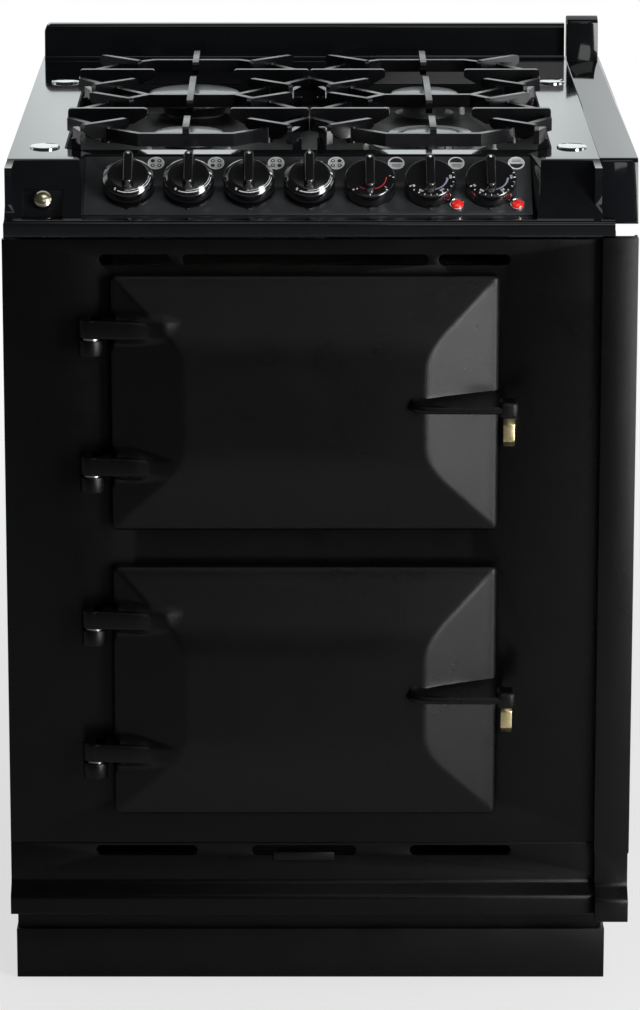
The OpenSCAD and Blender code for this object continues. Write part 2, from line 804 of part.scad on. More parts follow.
// Supply pipes: each leaves its tap sideways, drops behind the manifold, runs back low and rises to a jet
FEED = [2, 0, 1, 3];
pipe_r = 4;
pipe_n = (block_low + block_top) / 2;
pipe_out = 8;
pipe_step = 2 * pipe_r + 3;
module gas_pipes() {
    y0 = fascia_low_y + knob_s * cos(fascia_angle) + pipe_n * sin(fascia_angle);
    z0 = rail_top + knob_s * sin(fascia_angle) - pipe_n * cos(fascia_angle);
    y1 = manifold_y + manifold_r + pipe_r + 8;
    color("gainsboro")
    for (i = [0:3]) {
        b = BURNERS[FEED[i]];
        x0 = KNOBS[i] + block_w / 2 + gap;
        x1 = x0 + pipe_out;
        low = wool_top + pipe_r + 4 + (i == 3 ? pipe_step : 0);
        rod([
            [x0, y0, z0], [x1, y0, z0], [x1, y1, z0], [x1, y1, low], [x1, b[1], low], [b[0], b[1], low],
            [b[0], b[1], tray_z + jet_top - jet_drop - gap]
        ], pipe_r);
    }
}

// Thermostats and the grill switch behind the panel, with their fixed spindles
module oven_controls() {
    color("lightgray")
    for (i = [4, 5, 6])
        on_fascia(KNOBS[i], knob_s) {
            translate([-19, -17, -panel_t - 30]) cube([38, 34, 30]);
            translate([0, 0, -panel_t - over])
                cylinder(h = panel_t + over + electric_lift + knob_h - gap, r = spindle_r);
            for (x = [-12, -4, 4, 12])
                translate([x - 1.5, -4, -panel_t - 38]) cube([3, 8, 9]);
        }
}

// Spark generator on the insulation over the ovens
spark_w = 60;
spark_l = 50;
module spark_generator() {
    x = oven_x0 + oven_w + wool - spark_w;
    y = (burner_front + burner_back - spark_l) / 2;
    z = wool_top + gap;
    color("ivory") {
        box(x, y, z, x + spark_w, y + spark_l, z + 28);
        for (i = [1:5])
            translate([x + i * 10, y - 4, z + 12]) rotate([-90, 0, 0]) cylinder(h = 5, r = 3);
    }
}

// Ignition button in the left cheek
module ignition_button() {
    color("goldenrod")
    on_pocket() {
        rotate_extrude() polygon([
            [0, button_push + 0.5], [button_r - 0.6, button_push + 0.5], [button_r, button_push + 1.2],
            [button_r, button_push + 3.5], [button_r - 2, button_push + 5.4],
            [button_r - 5, button_push + 6.6], [0, button_push + 7]
        ]);
        translate([0, 0, -24]) cylinder(h = 24 + button_push + over, r = 4);
        translate([0, 0, -25]) cylinder(h = 2, r = 6);
    }
}

// Spill tray under the hob, with a hole for each burner and its probes
module spill_tray() {
    z1 = hob_z - cast_t;
    color([0.04, 0.04, 0.045])
    difference() {
        union() {
            translate([0, 0, tray_z]) linear_extrude(hob_z - 1 - tray_z)
                plate2d(tray_x0 + gap, tray_front + gap, tray_x1 - gap, tray_front + tray_l - gap, 10 - gap);
            translate([0, 0, z1 - sheet]) linear_extrude(sheet)
                plate2d(tray_x0 - 9, tray_front - 9, tray_x1 + 9, tray_front + tray_l + 9, 12);
        }
        translate([0, 0, tray_z + sheet]) linear_extrude(60)
            plate2d(tray_x0 + gap + sheet, tray_front + gap + sheet,
                tray_x1 - gap - sheet, tray_front + tray_l - gap - sheet, 8);
        for (b = BURNERS) {
            translate([b[0], b[1], tray_z - over]) cylinder(h = 10, r = cup_r + 1);
            for (p = probes(b))
                translate([p[0], p[1], tray_z - over]) cylinder(h = 10, r = probe_r + 0.5);
        }
    }
}

// Burner bodies: flange on the tray, cup and jet holder below it
module burner_bodies() {
    color("gainsboro")
    for (b = BURNERS)
        translate([b[0], b[1], tray_z]) rotate_extrude() polygon([
            [6, sheet + flange_t], [flange_r, sheet + flange_t], [flange_r, sheet], [cup_r, sheet],
            [cup_r, -14], [cup_r - 9, -22], [10, -24], [10, jet_top - jet_drop],
            [0, jet_top - jet_drop], [0, 12 - jet_drop], [5, 12 - jet_drop], [6, 14 - jet_drop]
        ]);
}

// Spreader crown with a ring of flame ports
spreader_z = tray_z + sheet + flange_t;
cap_z = hob_z + cap_top - cap_t;
module crown(r, ports) {
    h = cap_z - spreader_z;
    difference() {
        rotate_extrude() polygon([
            [8, 0], [r * 0.72, 0], [r * 0.8, h * 0.5], [r, h * 0.66], [r, h - gap], [r - 7, h - gap],
            [r - 9, h * 0.75], [8, h * 0.75]
        ]);
        for (k = [0:ports - 1])
            rotate(k * 360 / ports) translate([r - 10, -0.8, h * 0.78]) cube([11, 1.6, h]);
    }
}

module burner_spreaders() {
    color("darkgray")
    for (b = BURNERS)
        translate([b[0], b[1], spreader_z])
            if (b[2] == triple_r) {
                crown(24, 20);
                ring_crown();
            } else crown(b[2] - 5, port_n);
}

// Outer crown of the triple burner: a bright dish with a slotted ring
module ring_crown() {
    h = cap_z - spreader_z;
    difference() {
        rotate_extrude() polygon([
            [26, 0], [triple_r - 22, 0], [triple_r, h * 0.55], [triple_r, h * 0.55 + 2],
            [triple_r - 16, h * 0.62], [triple_r - 16, h - gap], [triple_r - 20, h - gap],
            [triple_r - 22, h * 0.5], [32, h * 0.5], [32, h - gap], [29, h - gap], [26, h * 0.4]
        ]);
        for (k = [0:port_n - 1])
            rotate(k * 360 / port_n) translate([triple_r - 21, -0.8, h * 0.72]) cube([7, 1.6, h]);
    }
}

// Caps of the burners
module burner_caps() {
    color([0.12, 0.12, 0.13])
    for (b = BURNERS)
        translate([b[0], b[1], cap_z])
            if (b[2] == triple_r) {
                cap(29);
                rotate_extrude() polygon([
                    [31.5, 0], [43.5, 0], [44, 1], [43.5, 3.5], [42, 4.6], [33, 4.6], [31.5, 3.5]
                ]);
            } else cap(b[2]);
}

module cap(r) {
    rotate_extrude() polygon([
        [0, 0], [r - 1, 0], [r, 1], [r, 3], [r - 1, 4.6], [r - 4, 5.8], [r * 0.5, cap_t - 0.3], [0, cap_t]
    ]);
}

// Spark electrode on the left of each burner and flame probe on its right
function probe_x(b) = b[2] == triple_r ? triple_r + 5 : b[2] + 4;
function probes(b) = [[b[0] - probe_x(b), b[1]], [b[0] + probe_x(b), b[1]]];
module burner_probes() {
    for (b = BURNERS) {
        p = probes(b);
        color("ivory") translate([p[0][0], p[0][1], tray_z - 18]) {
            cylinder(h = 30, r = probe_r);
            translate([0, 0, 29]) cylinder(h = 8, r = 1.1);
            translate([-4.5, -6, 17 - 3.3]) cube([9, 12, 3]);
        }
        color("peru") translate([p[1][0], p[1][1], tray_z - 18]) {
            cylinder(h = 26, r = probe_r);
            translate([0, 0, 25]) cylinder(h = 9, r = 2.2);
            translate([-4.5, -6, 17 - 3.3]) cube([9, 12, 3]);
        }
    }
}

// Pan support over two burners: a frame of bars, raised fingers and six feet
apart = 0.5;
ring_x = [46, 80, burner_x - bar_t / 2 - apart];
ring_y = [76, 20];
finger_in = 42;
finger_out = burner_x - apart;
function ring(b, y0, y1) = [
    [-ring_x[0], y0], [ring_x[0], y0], [ring_x[1], b - ring_y[0]], [ring_x[2], b - ring_y[1]],
    [ring_x[2], b + ring_y[1]], [ring_x[1], b + ring_y[0]], [ring_x[0], y1], [-ring_x[0], y1],
    [-ring_x[1], b + ring_y[0]], [-ring_x[2], b + ring_y[1]], [-ring_x[2], b - ring_y[1]],
    [-ring_x[1], b - ring_y[0]]
];

module support_frame() {
    y_mid = (burner_front + burner_back) / 2;
    rings = [
        ring(burner_front, burner_front - 106, y_mid), ring(burner_back, y_mid, burner_back + 101)
    ];
    difference() {
        for (r = rings)
            polygon(grow(r, bar_t / 2));
        for (r = rings)
            polygon(grow(r, -bar_t / 2));
    }
    for (s = [-1, 1]) {
        bar2d([s * link_x, burner_front + link_y], [s * link_x, burner_back - link_y], bar_t - 1);
        for (b = [burner_front, burner_back])
            bar2d([s * link_x, b - link_y], [s * leg_x, b - leg_y], bar_t - 1);
    }
}

// Raised finger: a blade with sloping ends from p to q
module finger(p, q) {
    d = q - p;
    l = norm(d);
    translate([p[0], p[1], hob_z + support_h - finger_h]) rotate([0, 0, atan2(d[1], d[0])])
        translate([0, bar_t / 2 - 0.25, 0]) rotate([90, 0, 0]) linear_extrude(bar_t - 0.5)
            polygon(rounded([
                [0, finger_h - 8], [0, finger_h], [l, finger_h], [l, finger_h - 8], [l - 12, 0], [14, 0]
            ], [2, 3, 3, 2, 4, 4], 3));
}

// Foot under a frame, standing in the spill tray
module support_leg(x, y) {
    foot_z = tray_z + sheet + gap;
    translate([x - leg_w / 2, y - leg_w / 2, foot_z])
        cube([leg_w, leg_w, hob_z + frame_top - frame_h + 2 - foot_z]);
}

module pan_support(side) {
    frame_z = hob_z + frame_top - frame_h;
    color([0.03, 0.03, 0.035])
    translate([side * burner_x, 0, 0]) {
        translate([0, 0, frame_z]) linear_extrude(frame_h) support_frame();
        for (y = [burner_front, burner_back], s = [-1, 1]) {
            finger([s * finger_in, y], [s * finger_out, y]);
            for (t = [-1, 1]) {
                finger([s * 60, y + t * 56], [s * link_x, y + t * link_y]);
                translate([s * boss_x, y + t * boss_y, frame_z - 2])
                    cylinder(h = frame_h + 3, r = 6, $fn = 32);
            }
            support_leg(s * leg_x, y - leg_y);
        }
        for (s = [-1, 1])
            support_leg(s * rear_leg_x, burner_back + rear_leg_y);
        finger([0, burner_front - finger_in], [0, burner_front - 110]);
        finger([0, burner_front + finger_in], [0, burner_back - finger_in]);
        finger([0, burner_back + finger_in], [0, burner_back + 123]);
    }
}

// Height of the crown of a door at a distance from its upper or lower edge
crown_flat = 2;
crown_bevel = 44;
crown_steps = 14;
function crown_h(e) =
    let (half = door_h / 2, low = door_slope * (crown_bevel - crown_flat))
    e < crown_bevel ? max(0, door_slope * (e - crown_flat))
        : door_rise - (door_rise - low) * pow((half - e) / (half - crown_bevel), 2);

// Crown: flat bevels from the sides that run into a barrel from bottom to top
module door_crown() {
    curve = [for (k = [0:crown_steps]) crown_bevel + (door_h - 2 * crown_bevel) * k / crown_steps];
    side = (door_rise + 3) / door_slope;
    intersection() {
        across(0, door_w) polygon([
            [-over, crown_flat], [-door_rim, crown_flat],
            each [for (e = curve) [-door_rim - crown_h(min(e, door_h - e)), e]],
            [-door_rim, door_h - crown_flat], [-over, door_h - crown_flat]
        ]);
        linear_extrude(door_h) polygon([
            [crown_flat, -over], [crown_flat, -door_rim], [crown_flat + side, -door_rim - door_rise - 3],
            [door_w - crown_flat - side, -door_rim - door_rise - 3], [door_w - crown_flat, -door_rim],
            [door_w - crown_flat, -over]
        ]);
    }
}

// Hollow behind the crown, closed by the plug
module door_hollow(z0) {
    m = door_lap + plug_m + 6;
    intersection() {
        translate([door_x0, door_wall - door_gap, z0]) door_crown();
        box(door_x0 + m + 2, -handle_y, z0 + m, door_x0 + door_w - m - 2, -door_gap + over, z0 + door_h - m);
    }
}

// Door casting: rim, domed crown, two hinge arms and the handle
module door(z0) {
    color([0.05, 0.05, 0.055]) {
        difference() {
            union() {
                translate([door_x0, -door_gap, z0]) door_crown();
                upright(front_y, -door_gap)
                    plate2d(door_x0, z0, door_x0 + door_w, z0 + door_h, 5);
                for (z = [arm_low, arm_high])
                    translate([hinge_x, -hinge_y, z0 + z]) linear_extrude(arm_h) {
                        circle(boss_r);
                        polygon([
                            [0, -boss_r], [arm_reach - arm_fade, -boss_r - 6], [arm_reach, -boss_r + 1],
                            [arm_reach, 0], [hinge_out + 6, boss_r - 2], [0, boss_r]
                        ]);
                    }
                translate([door_x0, 0, z0 + handle_z]) door_handle();
            }
            door_hollow(z0);
            for (z = [arm_low, arm_high])
                translate([hinge_x, -hinge_y, z0 + z - over]) cylinder(h = pin_top + over, r = pin_r + run);
        }
    }
}

// Handle: a bar that grows out of the crown and ends in a block past the edge of the door
module door_handle() {
    end_x = handle_tip_x + handle_l;
    translate([0, 0, -handle_t / 2]) linear_extrude(handle_t) polygon(rounded([
        [handle_tip_x, front_y - door_rise + 3], [end_x - handle_w, -handle_y], [end_x, -handle_y],
        [end_x, -handle_y + 26], [door_w - 6, front_y - over], [handle_tip_x, front_y - 4]
    ], [0, 8, 3, 3, 0, 0]));
    upright(-handle_y, -handle_y + 24)
        plate2d(end_x - handle_w, -handle_end_h / 2, end_x, handle_end_h / 2, 3);
}

// Pressed pan on the back of a door, which holds its insulation
module plug_outline(z0, m) {
    z1 = z0 + door_lap;
    plate2d(oven_x0 + plug_m + m, z1 + plug_m + m,
        oven_x0 + oven_w - plug_clear - m, z1 + oven_h - plug_m - m, 10 - m);
}

module door_liner(z0) {
    color([0.3, 0.3, 0.32])
    difference() {
        upright(-door_gap, plug_d) plug_outline(z0, 0);
        upright(-door_gap - over, plug_d - sheet) plug_outline(z0, sheet);
    }
}

// Rope seal in a loop round the plug
module seal_loop(z0, d) {
    z1 = z0 + door_lap;
    plate2d(oven_x0 - d, z1 - d, oven_x0 + oven_w + d, z1 + oven_h + d, d);
}

module door_seal(z0) {
    w = 6;
    d = 6;
    color([0.5, 0.5, 0.48])
    upright(-door_gap, -gap) difference() {
        seal_loop(z0, d + w);
        seal_loop(z0, d);
    }
}

// Hinge brackets on the front plate: a round boss on a lug under each arm
module hinge_brackets() {
    color([0.05, 0.05, 0.055])
    for (z0 = DOOR_Z, z = [arm_low, arm_high])
        translate([hinge_x, -hinge_y, z0 + z - collar_h - boss_h - gap]) difference() {
            union() {
                cylinder(h = boss_h, r = boss_r);
                translate([-7, 0, 0]) cube([14, hinge_y, boss_h]);
            }
            translate([0, 0, -over]) cylinder(h = boss_h + 2 * over, r = pin_r + run);
        }
}

// Hinge pins with a collar that carries the arm
module hinge_pins() {
    color("silver")
    for (z0 = DOOR_Z, z = [arm_low, arm_high])
        translate([hinge_x, -hinge_y, z0 + z - gap]) {
            translate([0, 0, -collar_h - boss_h])
                cylinder(h = collar_h + boss_h + pin_top - over, r = pin_r);
            translate([0, 0, -collar_h]) cylinder(h = collar_h, r = pin_r + 4);
        }
}

// Brass catches beside the doors
module door_catches() {
    x = door_x0 + door_w + 4.5;
    color([0.75, 0.62, 0.35])
    for (z0 = DOOR_Z)
        translate([0, 0, z0 + 84]) across(x, x + 11.5) polygon(rounded([
            [0, 0], [-7, 0], [-15, 7], [-15, 24], [-9, 29], [0, 29]
        ], [0, 2, 3, 3, 3, 0]));
}

// Oven liner: an enamelled box with a flange behind the front plate
module oven_liner(z0, fan) {
    x1 = oven_x0 + oven_w;
    z1 = z0 + door_lap;
    color([0.16, 0.17, 0.19])
    difference() {
        union() {
            box(oven_x0, plate_t, z1, x1, oven_y0 + oven_d + sheet, z1 + oven_h);
            upright(plate_t, oven_y0)
                plate2d(oven_x0 - liner_flange, z1 - liner_flange,
                    x1 + liner_flange, z1 + oven_h + liner_flange, 8);
        }
        box(oven_x0 + sheet, -over, z1 + sheet, x1 - sheet, oven_y0 + oven_d, z1 + oven_h - sheet);
        if (fan)
            translate([fan_x, fan_y - over, fan_z]) rotate([-90, 0, 0]) cylinder(h = 10, r = shaft_r + 3);
    }
}

// Mineral wool round both ovens
module insulation() {
    color([0.75, 0.72, 0.6])
    for (z0 = DOOR_Z) {
        z1 = z0 + door_lap;
        h = z0 == door_z_bottom ? wool - 4 : wool;
        difference() {
            box(oven_x0 - wool, oven_y0 + gap, z1 - h, oven_x0 + oven_w + wool,
                oven_y0 + oven_d + sheet + wool, z1 + oven_h + h);
            box(oven_x0 - gap, 0, z1 - gap, oven_x0 + oven_w + gap,
                oven_y0 + oven_d + sheet + gap, z1 + oven_h + gap);
            translate([fan_x, fan_y, fan_z]) rotate([-90, 0, 0]) cylinder(h = 60, r = 34);
        }
    }
}

// Shelf runners: a ladder of rods on each side wall of each oven
rung_r = 2.5;
rung_z = 50;
rung_low = 14;
rung_in = 7;
module shelf_runners() {
    y0 = oven_y0 + 50;
    y1 = oven_y0 + oven_d - 70;
    color("silver")
    for (z0 = DOOR_Z, side = [0, 1]) {
        z1 = z0 + door_lap + sheet;
        x = side == 0 ? oven_x0 + sheet + gap + rung_r : oven_x0 + oven_w - sheet - gap - rung_r;
        d = side == 0 ? 1 : -1;
        for (y = [y0, y1])
            rod([[x, y, z1 + 20], [x, y, z1 + oven_h - 24]], rung_r);
        for (k = [1:levels]) {
            z = z1 + k * rung_z - rung_low;
            x1 = x + d * rung_in;
            rod([[x, y0, z], [x1, y0 + 10, z], [x1, y1 - 10, z], [x, y1, z]], rung_r);
        }
    }
}

// Wire shelves: a rod frame with cross wires
wire_r = 1.6;
wire_n = 11;
module oven_shelves() {
    x0 = oven_x0 + sheet + 9;
    x1 = oven_x0 + oven_w - sheet - 9;
    y0 = oven_y0 + 48;
    y1 = oven_y0 + oven_d - 74;
    color("silver")
    for (z0 = DOOR_Z) {
        z = z0 + door_lap + sheet + 2 * rung_z - rung_low + 2 * rung_r + gap;
        for (y = [y0, y1])
            rod([[x0, y, z], [x1, y, z]], rung_r);
        for (x = [x0, x1])
            rod([[x, y0, z], [x, y1, z]], rung_r);
        for (k = [1:wire_n]) {
            x = x0 + (x1 - x0) * k / (wire_n + 1);
            rod([[x, y0, z], [x, y1, z]], wire_r);
        }
        for (x = [x0, x1], y = [y0, y1])
            translate([x, y, z]) sphere(rung_r, $fn = 24);
    }
}

// Grill element under the roof of the top oven
module grill_element() {
    z = door_z_top + door_lap + oven_h - 16;
    y1 = oven_y0 + oven_d;
    y0 = oven_y0 + 60;
    xs = [for (k = [0:5]) fan_x - 125 + k * 50];
    color([0.25, 0.24, 0.24])
    rod([
        [xs[0], y1 - gap, z], [xs[0], y0, z], [xs[1], y0, z], [xs[1], y1 - 60, z], [xs[2], y1 - 60, z],
        [xs[2], y0, z], [xs[3], y0, z], [xs[3], y1 - 60, z], [xs[4], y1 - 60, z], [xs[4], y0, z],
        [xs[5], y0, z], [xs[5], y1 - gap, z]
    ], element_r);
}

// Ring element round the fan
module fan_element() {
    color([0.25, 0.24, 0.24])
    translate([fan_x, fan_y - 17, fan_z]) rotate([90, 0, 0]) {
        rotate_extrude() translate([fan_r + 12, 0]) circle(element_r, $fn = 24);
        for (x = [-8, 8])
            translate([x, fan_r + 11, -17 + gap]) cylinder(h = 17 - gap, r = element_r, $fn = 24);
    }
}

// Cover over the fan: a plate with a rosette of inlet slots and side outlets
module fan_cover() {
    x0 = oven_x0 + sheet + gap;
    x1 = oven_x0 + oven_w - sheet - gap;
    z0 = door_z_bottom + door_lap + sheet + gap;
    z1 = door_z_bottom + door_lap + oven_h - sheet - gap;
    y = fan_y - cover_gap;
    color([0.2, 0.21, 0.23]) {
        upright(y - sheet, y) difference() {
            translate([x0, z0]) square([x1 - x0, z1 - z0]);
            for (k = [0:11])
                translate([fan_x, fan_z]) rotate(k * 30) translate([14, -3]) slot2d(0, fan_r - 26, 0, 6);
            for (x = [x0 + 20, x1 - 14], k = [0:5])
                translate([x, z0 + 24 + k * 29]) rotate(90) slot2d(0, 20, 0, 6);
        }
        for (x = [x0 + 4, x1 - 4 - sheet])
            box(x, y, z0 + 30, x + sheet, fan_y - gap, z0 + 50);
    }
}

// Oven fan on its shaft
fan_blades = 12;
module fan_impeller() {
    color("silver")
    translate([fan_x, fan_y, fan_z]) rotate([90, 0, 0]) {
        translate([0, 0, 4]) cylinder(h = 1.5, r = fan_r);
        for (k = [0:fan_blades - 1])
            rotate(k * 360 / fan_blades) translate([fan_r - 26, 0, 5]) rotate(20) cube([26, 1.5, 20]);
        translate([0, 0, 4]) cylinder(h = 14, r = 9);
        translate([0, 0, -36]) cylinder(h = 42, r = shaft_r);
    }
}

// Fan motor behind the oven on a bracket
module fan_motor() {
    color("gray")
    translate([fan_x, fan_y + sheet + gap, fan_z]) rotate([-90, 0, 0]) difference() {
        union() {
            translate([0, 0, wool + 4]) cylinder(h = 30, r = 30);
            cylinder(h = wool + 6, r = 12);
            translate([-40, -9, wool + sheet + 1]) cube([80, 18, 3]);
        }
        translate([0, 0, -over]) cylinder(h = 42, r = shaft_r + run);
    }
}

// Terminal box on the rear panel with a cable gland
terminal_w = 80;
module terminal_box() {
    x = plate_x1 - terminal_w - 50;
    z = plinth_h + 60;
    color("gray") {
        box(x, body_d, z, x + terminal_w, body_d + 26, z + 60);
        translate([x + 20, body_d + 13, z - 14]) difference() {
            cylinder(h = 15, r = 11, $fn = 6);
            translate([0, 0, -over]) cylinder(h = 14, r = 6);
        }
    }
}

levelling_feet();
base_pan();
plinth();
side_panel(true);  // side_panel_left
side_panel(false);  // side_panel_right
rear_panel();
front_plate();
skirt();
skirt_tab();
side_post();
hob_casting();
side_strip();
fixing_caps();
control_panel();
knob_bezels();
neon_lights();
spill_tray();
burner_bodies();
burner_spreaders();
burner_caps();
burner_probes();
gas_manifold();
gas_taps();
gas_pipes();
oven_controls();
spark_generator();
oven_liner(door_z_top, false);  // oven_liner_top
oven_liner(door_z_bottom, true);  // oven_liner_bottom
insulation();
shelf_runners();
oven_shelves();
grill_element();
fan_element();
fan_cover();
fan_impeller();
fan_motor();
terminal_box();
hinge_brackets();
hinge_pins();
door_catches();
door(door_z_top);  // door_top
door_liner(door_z_top);  // door_top_liner
door_seal(door_z_top);  // door_top_seal
door(door_z_bottom);  // door_bottom
door_liner(door_z_bottom);  // door_bottom_liner
door_seal(door_z_bottom);  // door_bottom_seal
gas_knob(0);  // gas_knob_1
gas_knob(1);  // gas_knob_2
gas_knob(2);  // gas_knob_3
gas_knob(3);  // gas_knob_4
electric_knob(4);  // grill_knob
electric_knob(5);  // top_oven_knob
electric_knob(6);  // bottom_oven_knob
tap_stem(0);  // tap_stem_1
tap_stem(1);  // tap_stem_2
tap_stem(2);  // tap_stem_3
tap_stem(3);  // tap_stem_4
ignition_button();
pan_support(-1);  // pan_support_left
pan_support(1);  // pan_support_right
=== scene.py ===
# %% [markdown]
# # A dual fuel range cooker in black enamel
#
# The cooker is a free-standing cast-iron range: a gas hob over two electric ovens, with domed doors that
# hang on cast arms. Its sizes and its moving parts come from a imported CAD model, so this lesson only dresses
# it. It covers rounded edges on the castings, smooth domed doors, turned knobs, and finishes made from
# shader nodes.
#
# All lengths are metres in the frame of the CAD model: X to the right, Y to the back, Z up. Sizes in the
# code are written in millimetres and divided once, because that is how a maker of cookers would give them.

# %% Load the fixed frame
import json
import math
import bmesh
import bpy
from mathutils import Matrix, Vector


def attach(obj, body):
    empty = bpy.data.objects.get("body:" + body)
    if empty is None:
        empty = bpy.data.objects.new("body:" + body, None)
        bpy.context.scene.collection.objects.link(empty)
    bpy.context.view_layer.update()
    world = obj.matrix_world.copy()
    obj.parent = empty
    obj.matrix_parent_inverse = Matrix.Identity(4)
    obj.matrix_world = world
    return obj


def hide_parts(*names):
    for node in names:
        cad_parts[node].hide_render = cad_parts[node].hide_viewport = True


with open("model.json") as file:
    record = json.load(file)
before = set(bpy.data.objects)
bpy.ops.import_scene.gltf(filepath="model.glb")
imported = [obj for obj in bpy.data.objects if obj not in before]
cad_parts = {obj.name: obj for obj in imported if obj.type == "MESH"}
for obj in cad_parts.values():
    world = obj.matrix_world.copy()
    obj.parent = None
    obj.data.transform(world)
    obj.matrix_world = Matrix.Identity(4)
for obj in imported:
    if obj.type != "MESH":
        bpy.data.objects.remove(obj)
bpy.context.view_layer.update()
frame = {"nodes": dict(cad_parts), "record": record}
nodes = frame["nodes"]
slot_of = {part["node"]: part["material_slot"] for part in frame["record"]["subparts"]}

# %% [markdown]
# ## The camera
#
# The cooker was photographed with a long lens that looks down on the hob while the front stays nearly
# upright. A shift lens does that. Only a part of the effect is made with shift here and the rest with a
# small tilt, because a large shift would push the cooker out of the middle when the camera goes round it.

# %% Camera at the photograph's viewing angle
TILT_DOWN = 12.607
camera_data = bpy.data.cameras.new("front_camera")
camera_data.sensor_width = 36
camera_data.lens = 156.49
camera_data.shift_x = 0.0104
camera_data.shift_y = -0.2
camera_data.clip_end = 200
camera = bpy.data.objects.new("front_camera", camera_data)
camera.location = (0, -4.2, 1.6557)
camera.rotation_euler = (math.radians(90 - TILT_DOWN), 0, 0)
bpy.context.scene.collection.objects.link(camera)
bpy.context.scene.camera = camera
print("camera", tuple(round(v, 3) for v in camera.location), "lens", camera_data.lens)

# %% [markdown]
# ## The studio
#
# Black enamel shows almost nothing of its own colour. What the eye reads is what it mirrors, so the studio
# matters more than the paint. The flat hob is seen at a low angle and mirrors the room behind it, so that
# side is pale. The sloping panel and the knobs mirror the ceiling, which is dark. The right bevels of the
# doors mirror a tall soft lamp that stands on the floor, and the upper half of each dome mirrors a wide lamp
# above the camera.

# %% Helpers for node trees
def add_node(tree, kind, at, **settings):
    made = tree.nodes.new(kind)
    made.location = at
    for key, value in settings.items():
        if key in made.inputs:
            made.inputs[key].default_value = value
        else:
            setattr(made, key, value)
    return made


def join(tree, *links):
    for out_socket, in_socket in links:
        tree.links.new(out_socket, in_socket)


print("helpers:", add_node.__name__, join.__name__)

# %% World: pale behind, dark above and in front
# Strengths: the side behind the cooker, the rest of what mirrors show, the plain light of the room, the
# backdrop
BEHIND, ELSEWHERE, ROOM_LIGHT, BACKDROP = 0.7, 0.035, 0.2, 1.0
world = bpy.data.worlds.new("studio")
bpy.context.scene.world = world
world.use_nodes = True
tree = world.node_tree
tree.nodes.clear()
where = add_node(tree, "ShaderNodeTexCoord", (-900, 0))
split = add_node(tree, "ShaderNodeSeparateXYZ", (-720, 0))
behind = add_node(tree, "ShaderNodeMapRange", (-540, 0), interpolation_type="SMOOTHSTEP")
behind.inputs["From Min"].default_value = 0.25
behind.inputs["From Max"].default_value = 0.85
behind.inputs["To Min"].default_value = ELSEWHERE
behind.inputs["To Max"].default_value = BEHIND
path = add_node(tree, "ShaderNodeLightPath", (-540, 300))
seen = add_node(tree, "ShaderNodeMath", (-360, 260), operation="MAXIMUM")
level = add_node(tree, "ShaderNodeMix", (-180, 100), data_type="FLOAT")
level.inputs[2].default_value = ROOM_LIGHT
camera_level = add_node(tree, "ShaderNodeMix", (0, 100), data_type="FLOAT")
camera_level.inputs[3].default_value = BACKDROP
background = add_node(tree, "ShaderNodeBackground", (180, 0), Color=(1, 1, 1, 1))
world_out = add_node(tree, "ShaderNodeOutputWorld", (360, 0))
join(
    tree,
    (where.outputs["Generated"], split.inputs[0]), (split.outputs["Y"], behind.inputs["Value"]),
    (path.outputs["Is Glossy Ray"], seen.inputs[0]), (path.outputs["Is Transmission Ray"], seen.inputs[1]),
    (seen.outputs[0], level.inputs[0]), (behind.outputs[0], level.inputs[3]),
    (path.outputs["Is Camera Ray"], camera_level.inputs[0]), (level.outputs[0], camera_level.inputs[2]),
    (camera_level.outputs[0], background.inputs["Strength"]), (background.outputs[0], world_out.inputs[0]),
)
print("world nodes:", len(tree.nodes))

# %% Floor that fades to white away from the cooker
# The camera sees mostly the white part; the enamel mirrors only the matt part, which is a little darker.
FLOOR_RADIUS = 60
FADE_START, FADE_END = 0.5, 3.5
bpy.ops.mesh.primitive_circle_add(vertices=96, radius=FLOOR_RADIUS, fill_type="NGON", location=(0, 0, 0))
floor = bpy.context.object
floor.name = "floor"
floor_paint = bpy.data.materials.new("pale_floor")
floor_paint.use_nodes = True
floor.data.materials.append(floor_paint)
tree = floor_paint.node_tree
tree.nodes.clear()
matt = add_node(tree, "ShaderNodeBsdfPrincipled", (0, 0), Roughness=0.7)
matt.inputs["Base Color"].default_value = (0.58, 0.58, 0.58, 1)
matt.inputs["Specular IOR Level"].default_value = 0.2
white = add_node(tree, "ShaderNodeEmission", (0, -300), Strength=1.0)
where = add_node(tree, "ShaderNodeTexCoord", (-900, 200))
distance = add_node(tree, "ShaderNodeVectorMath", (-720, 200), operation="LENGTH")
fade = add_node(tree, "ShaderNodeMapRange", (-540, 200), interpolation_type="SMOOTHSTEP")
fade.inputs["From Min"].default_value = FADE_START
fade.inputs["From Max"].default_value = FADE_END
fade.inputs["To Min"].default_value = 0.66
fade.inputs["To Max"].default_value = 1.0
path = add_node(tree, "ShaderNodeLightPath", (-540, 500))
share = add_node(tree, "ShaderNodeMath", (-300, 300), operation="MULTIPLY")
mixed = add_node(tree, "ShaderNodeMixShader", (250, 0))
floor_out = add_node(tree, "ShaderNodeOutputMaterial", (450, 0))
join(
    tree,
    (where.outputs["Object"], distance.inputs[0]), (distance.outputs["Value"], fade.inputs["Value"]),
    (fade.outputs[0], share.inputs[0]), (path.outputs["Is Camera Ray"], share.inputs[1]),
    (share.outputs[0], mixed.inputs[0]), (matt.outputs[0], mixed.inputs[1]),
    (white.outputs[0], mixed.inputs[2]), (mixed.outputs[0], floor_out.inputs[0]),
)
print("floor radius in metres:", FLOOR_RADIUS)


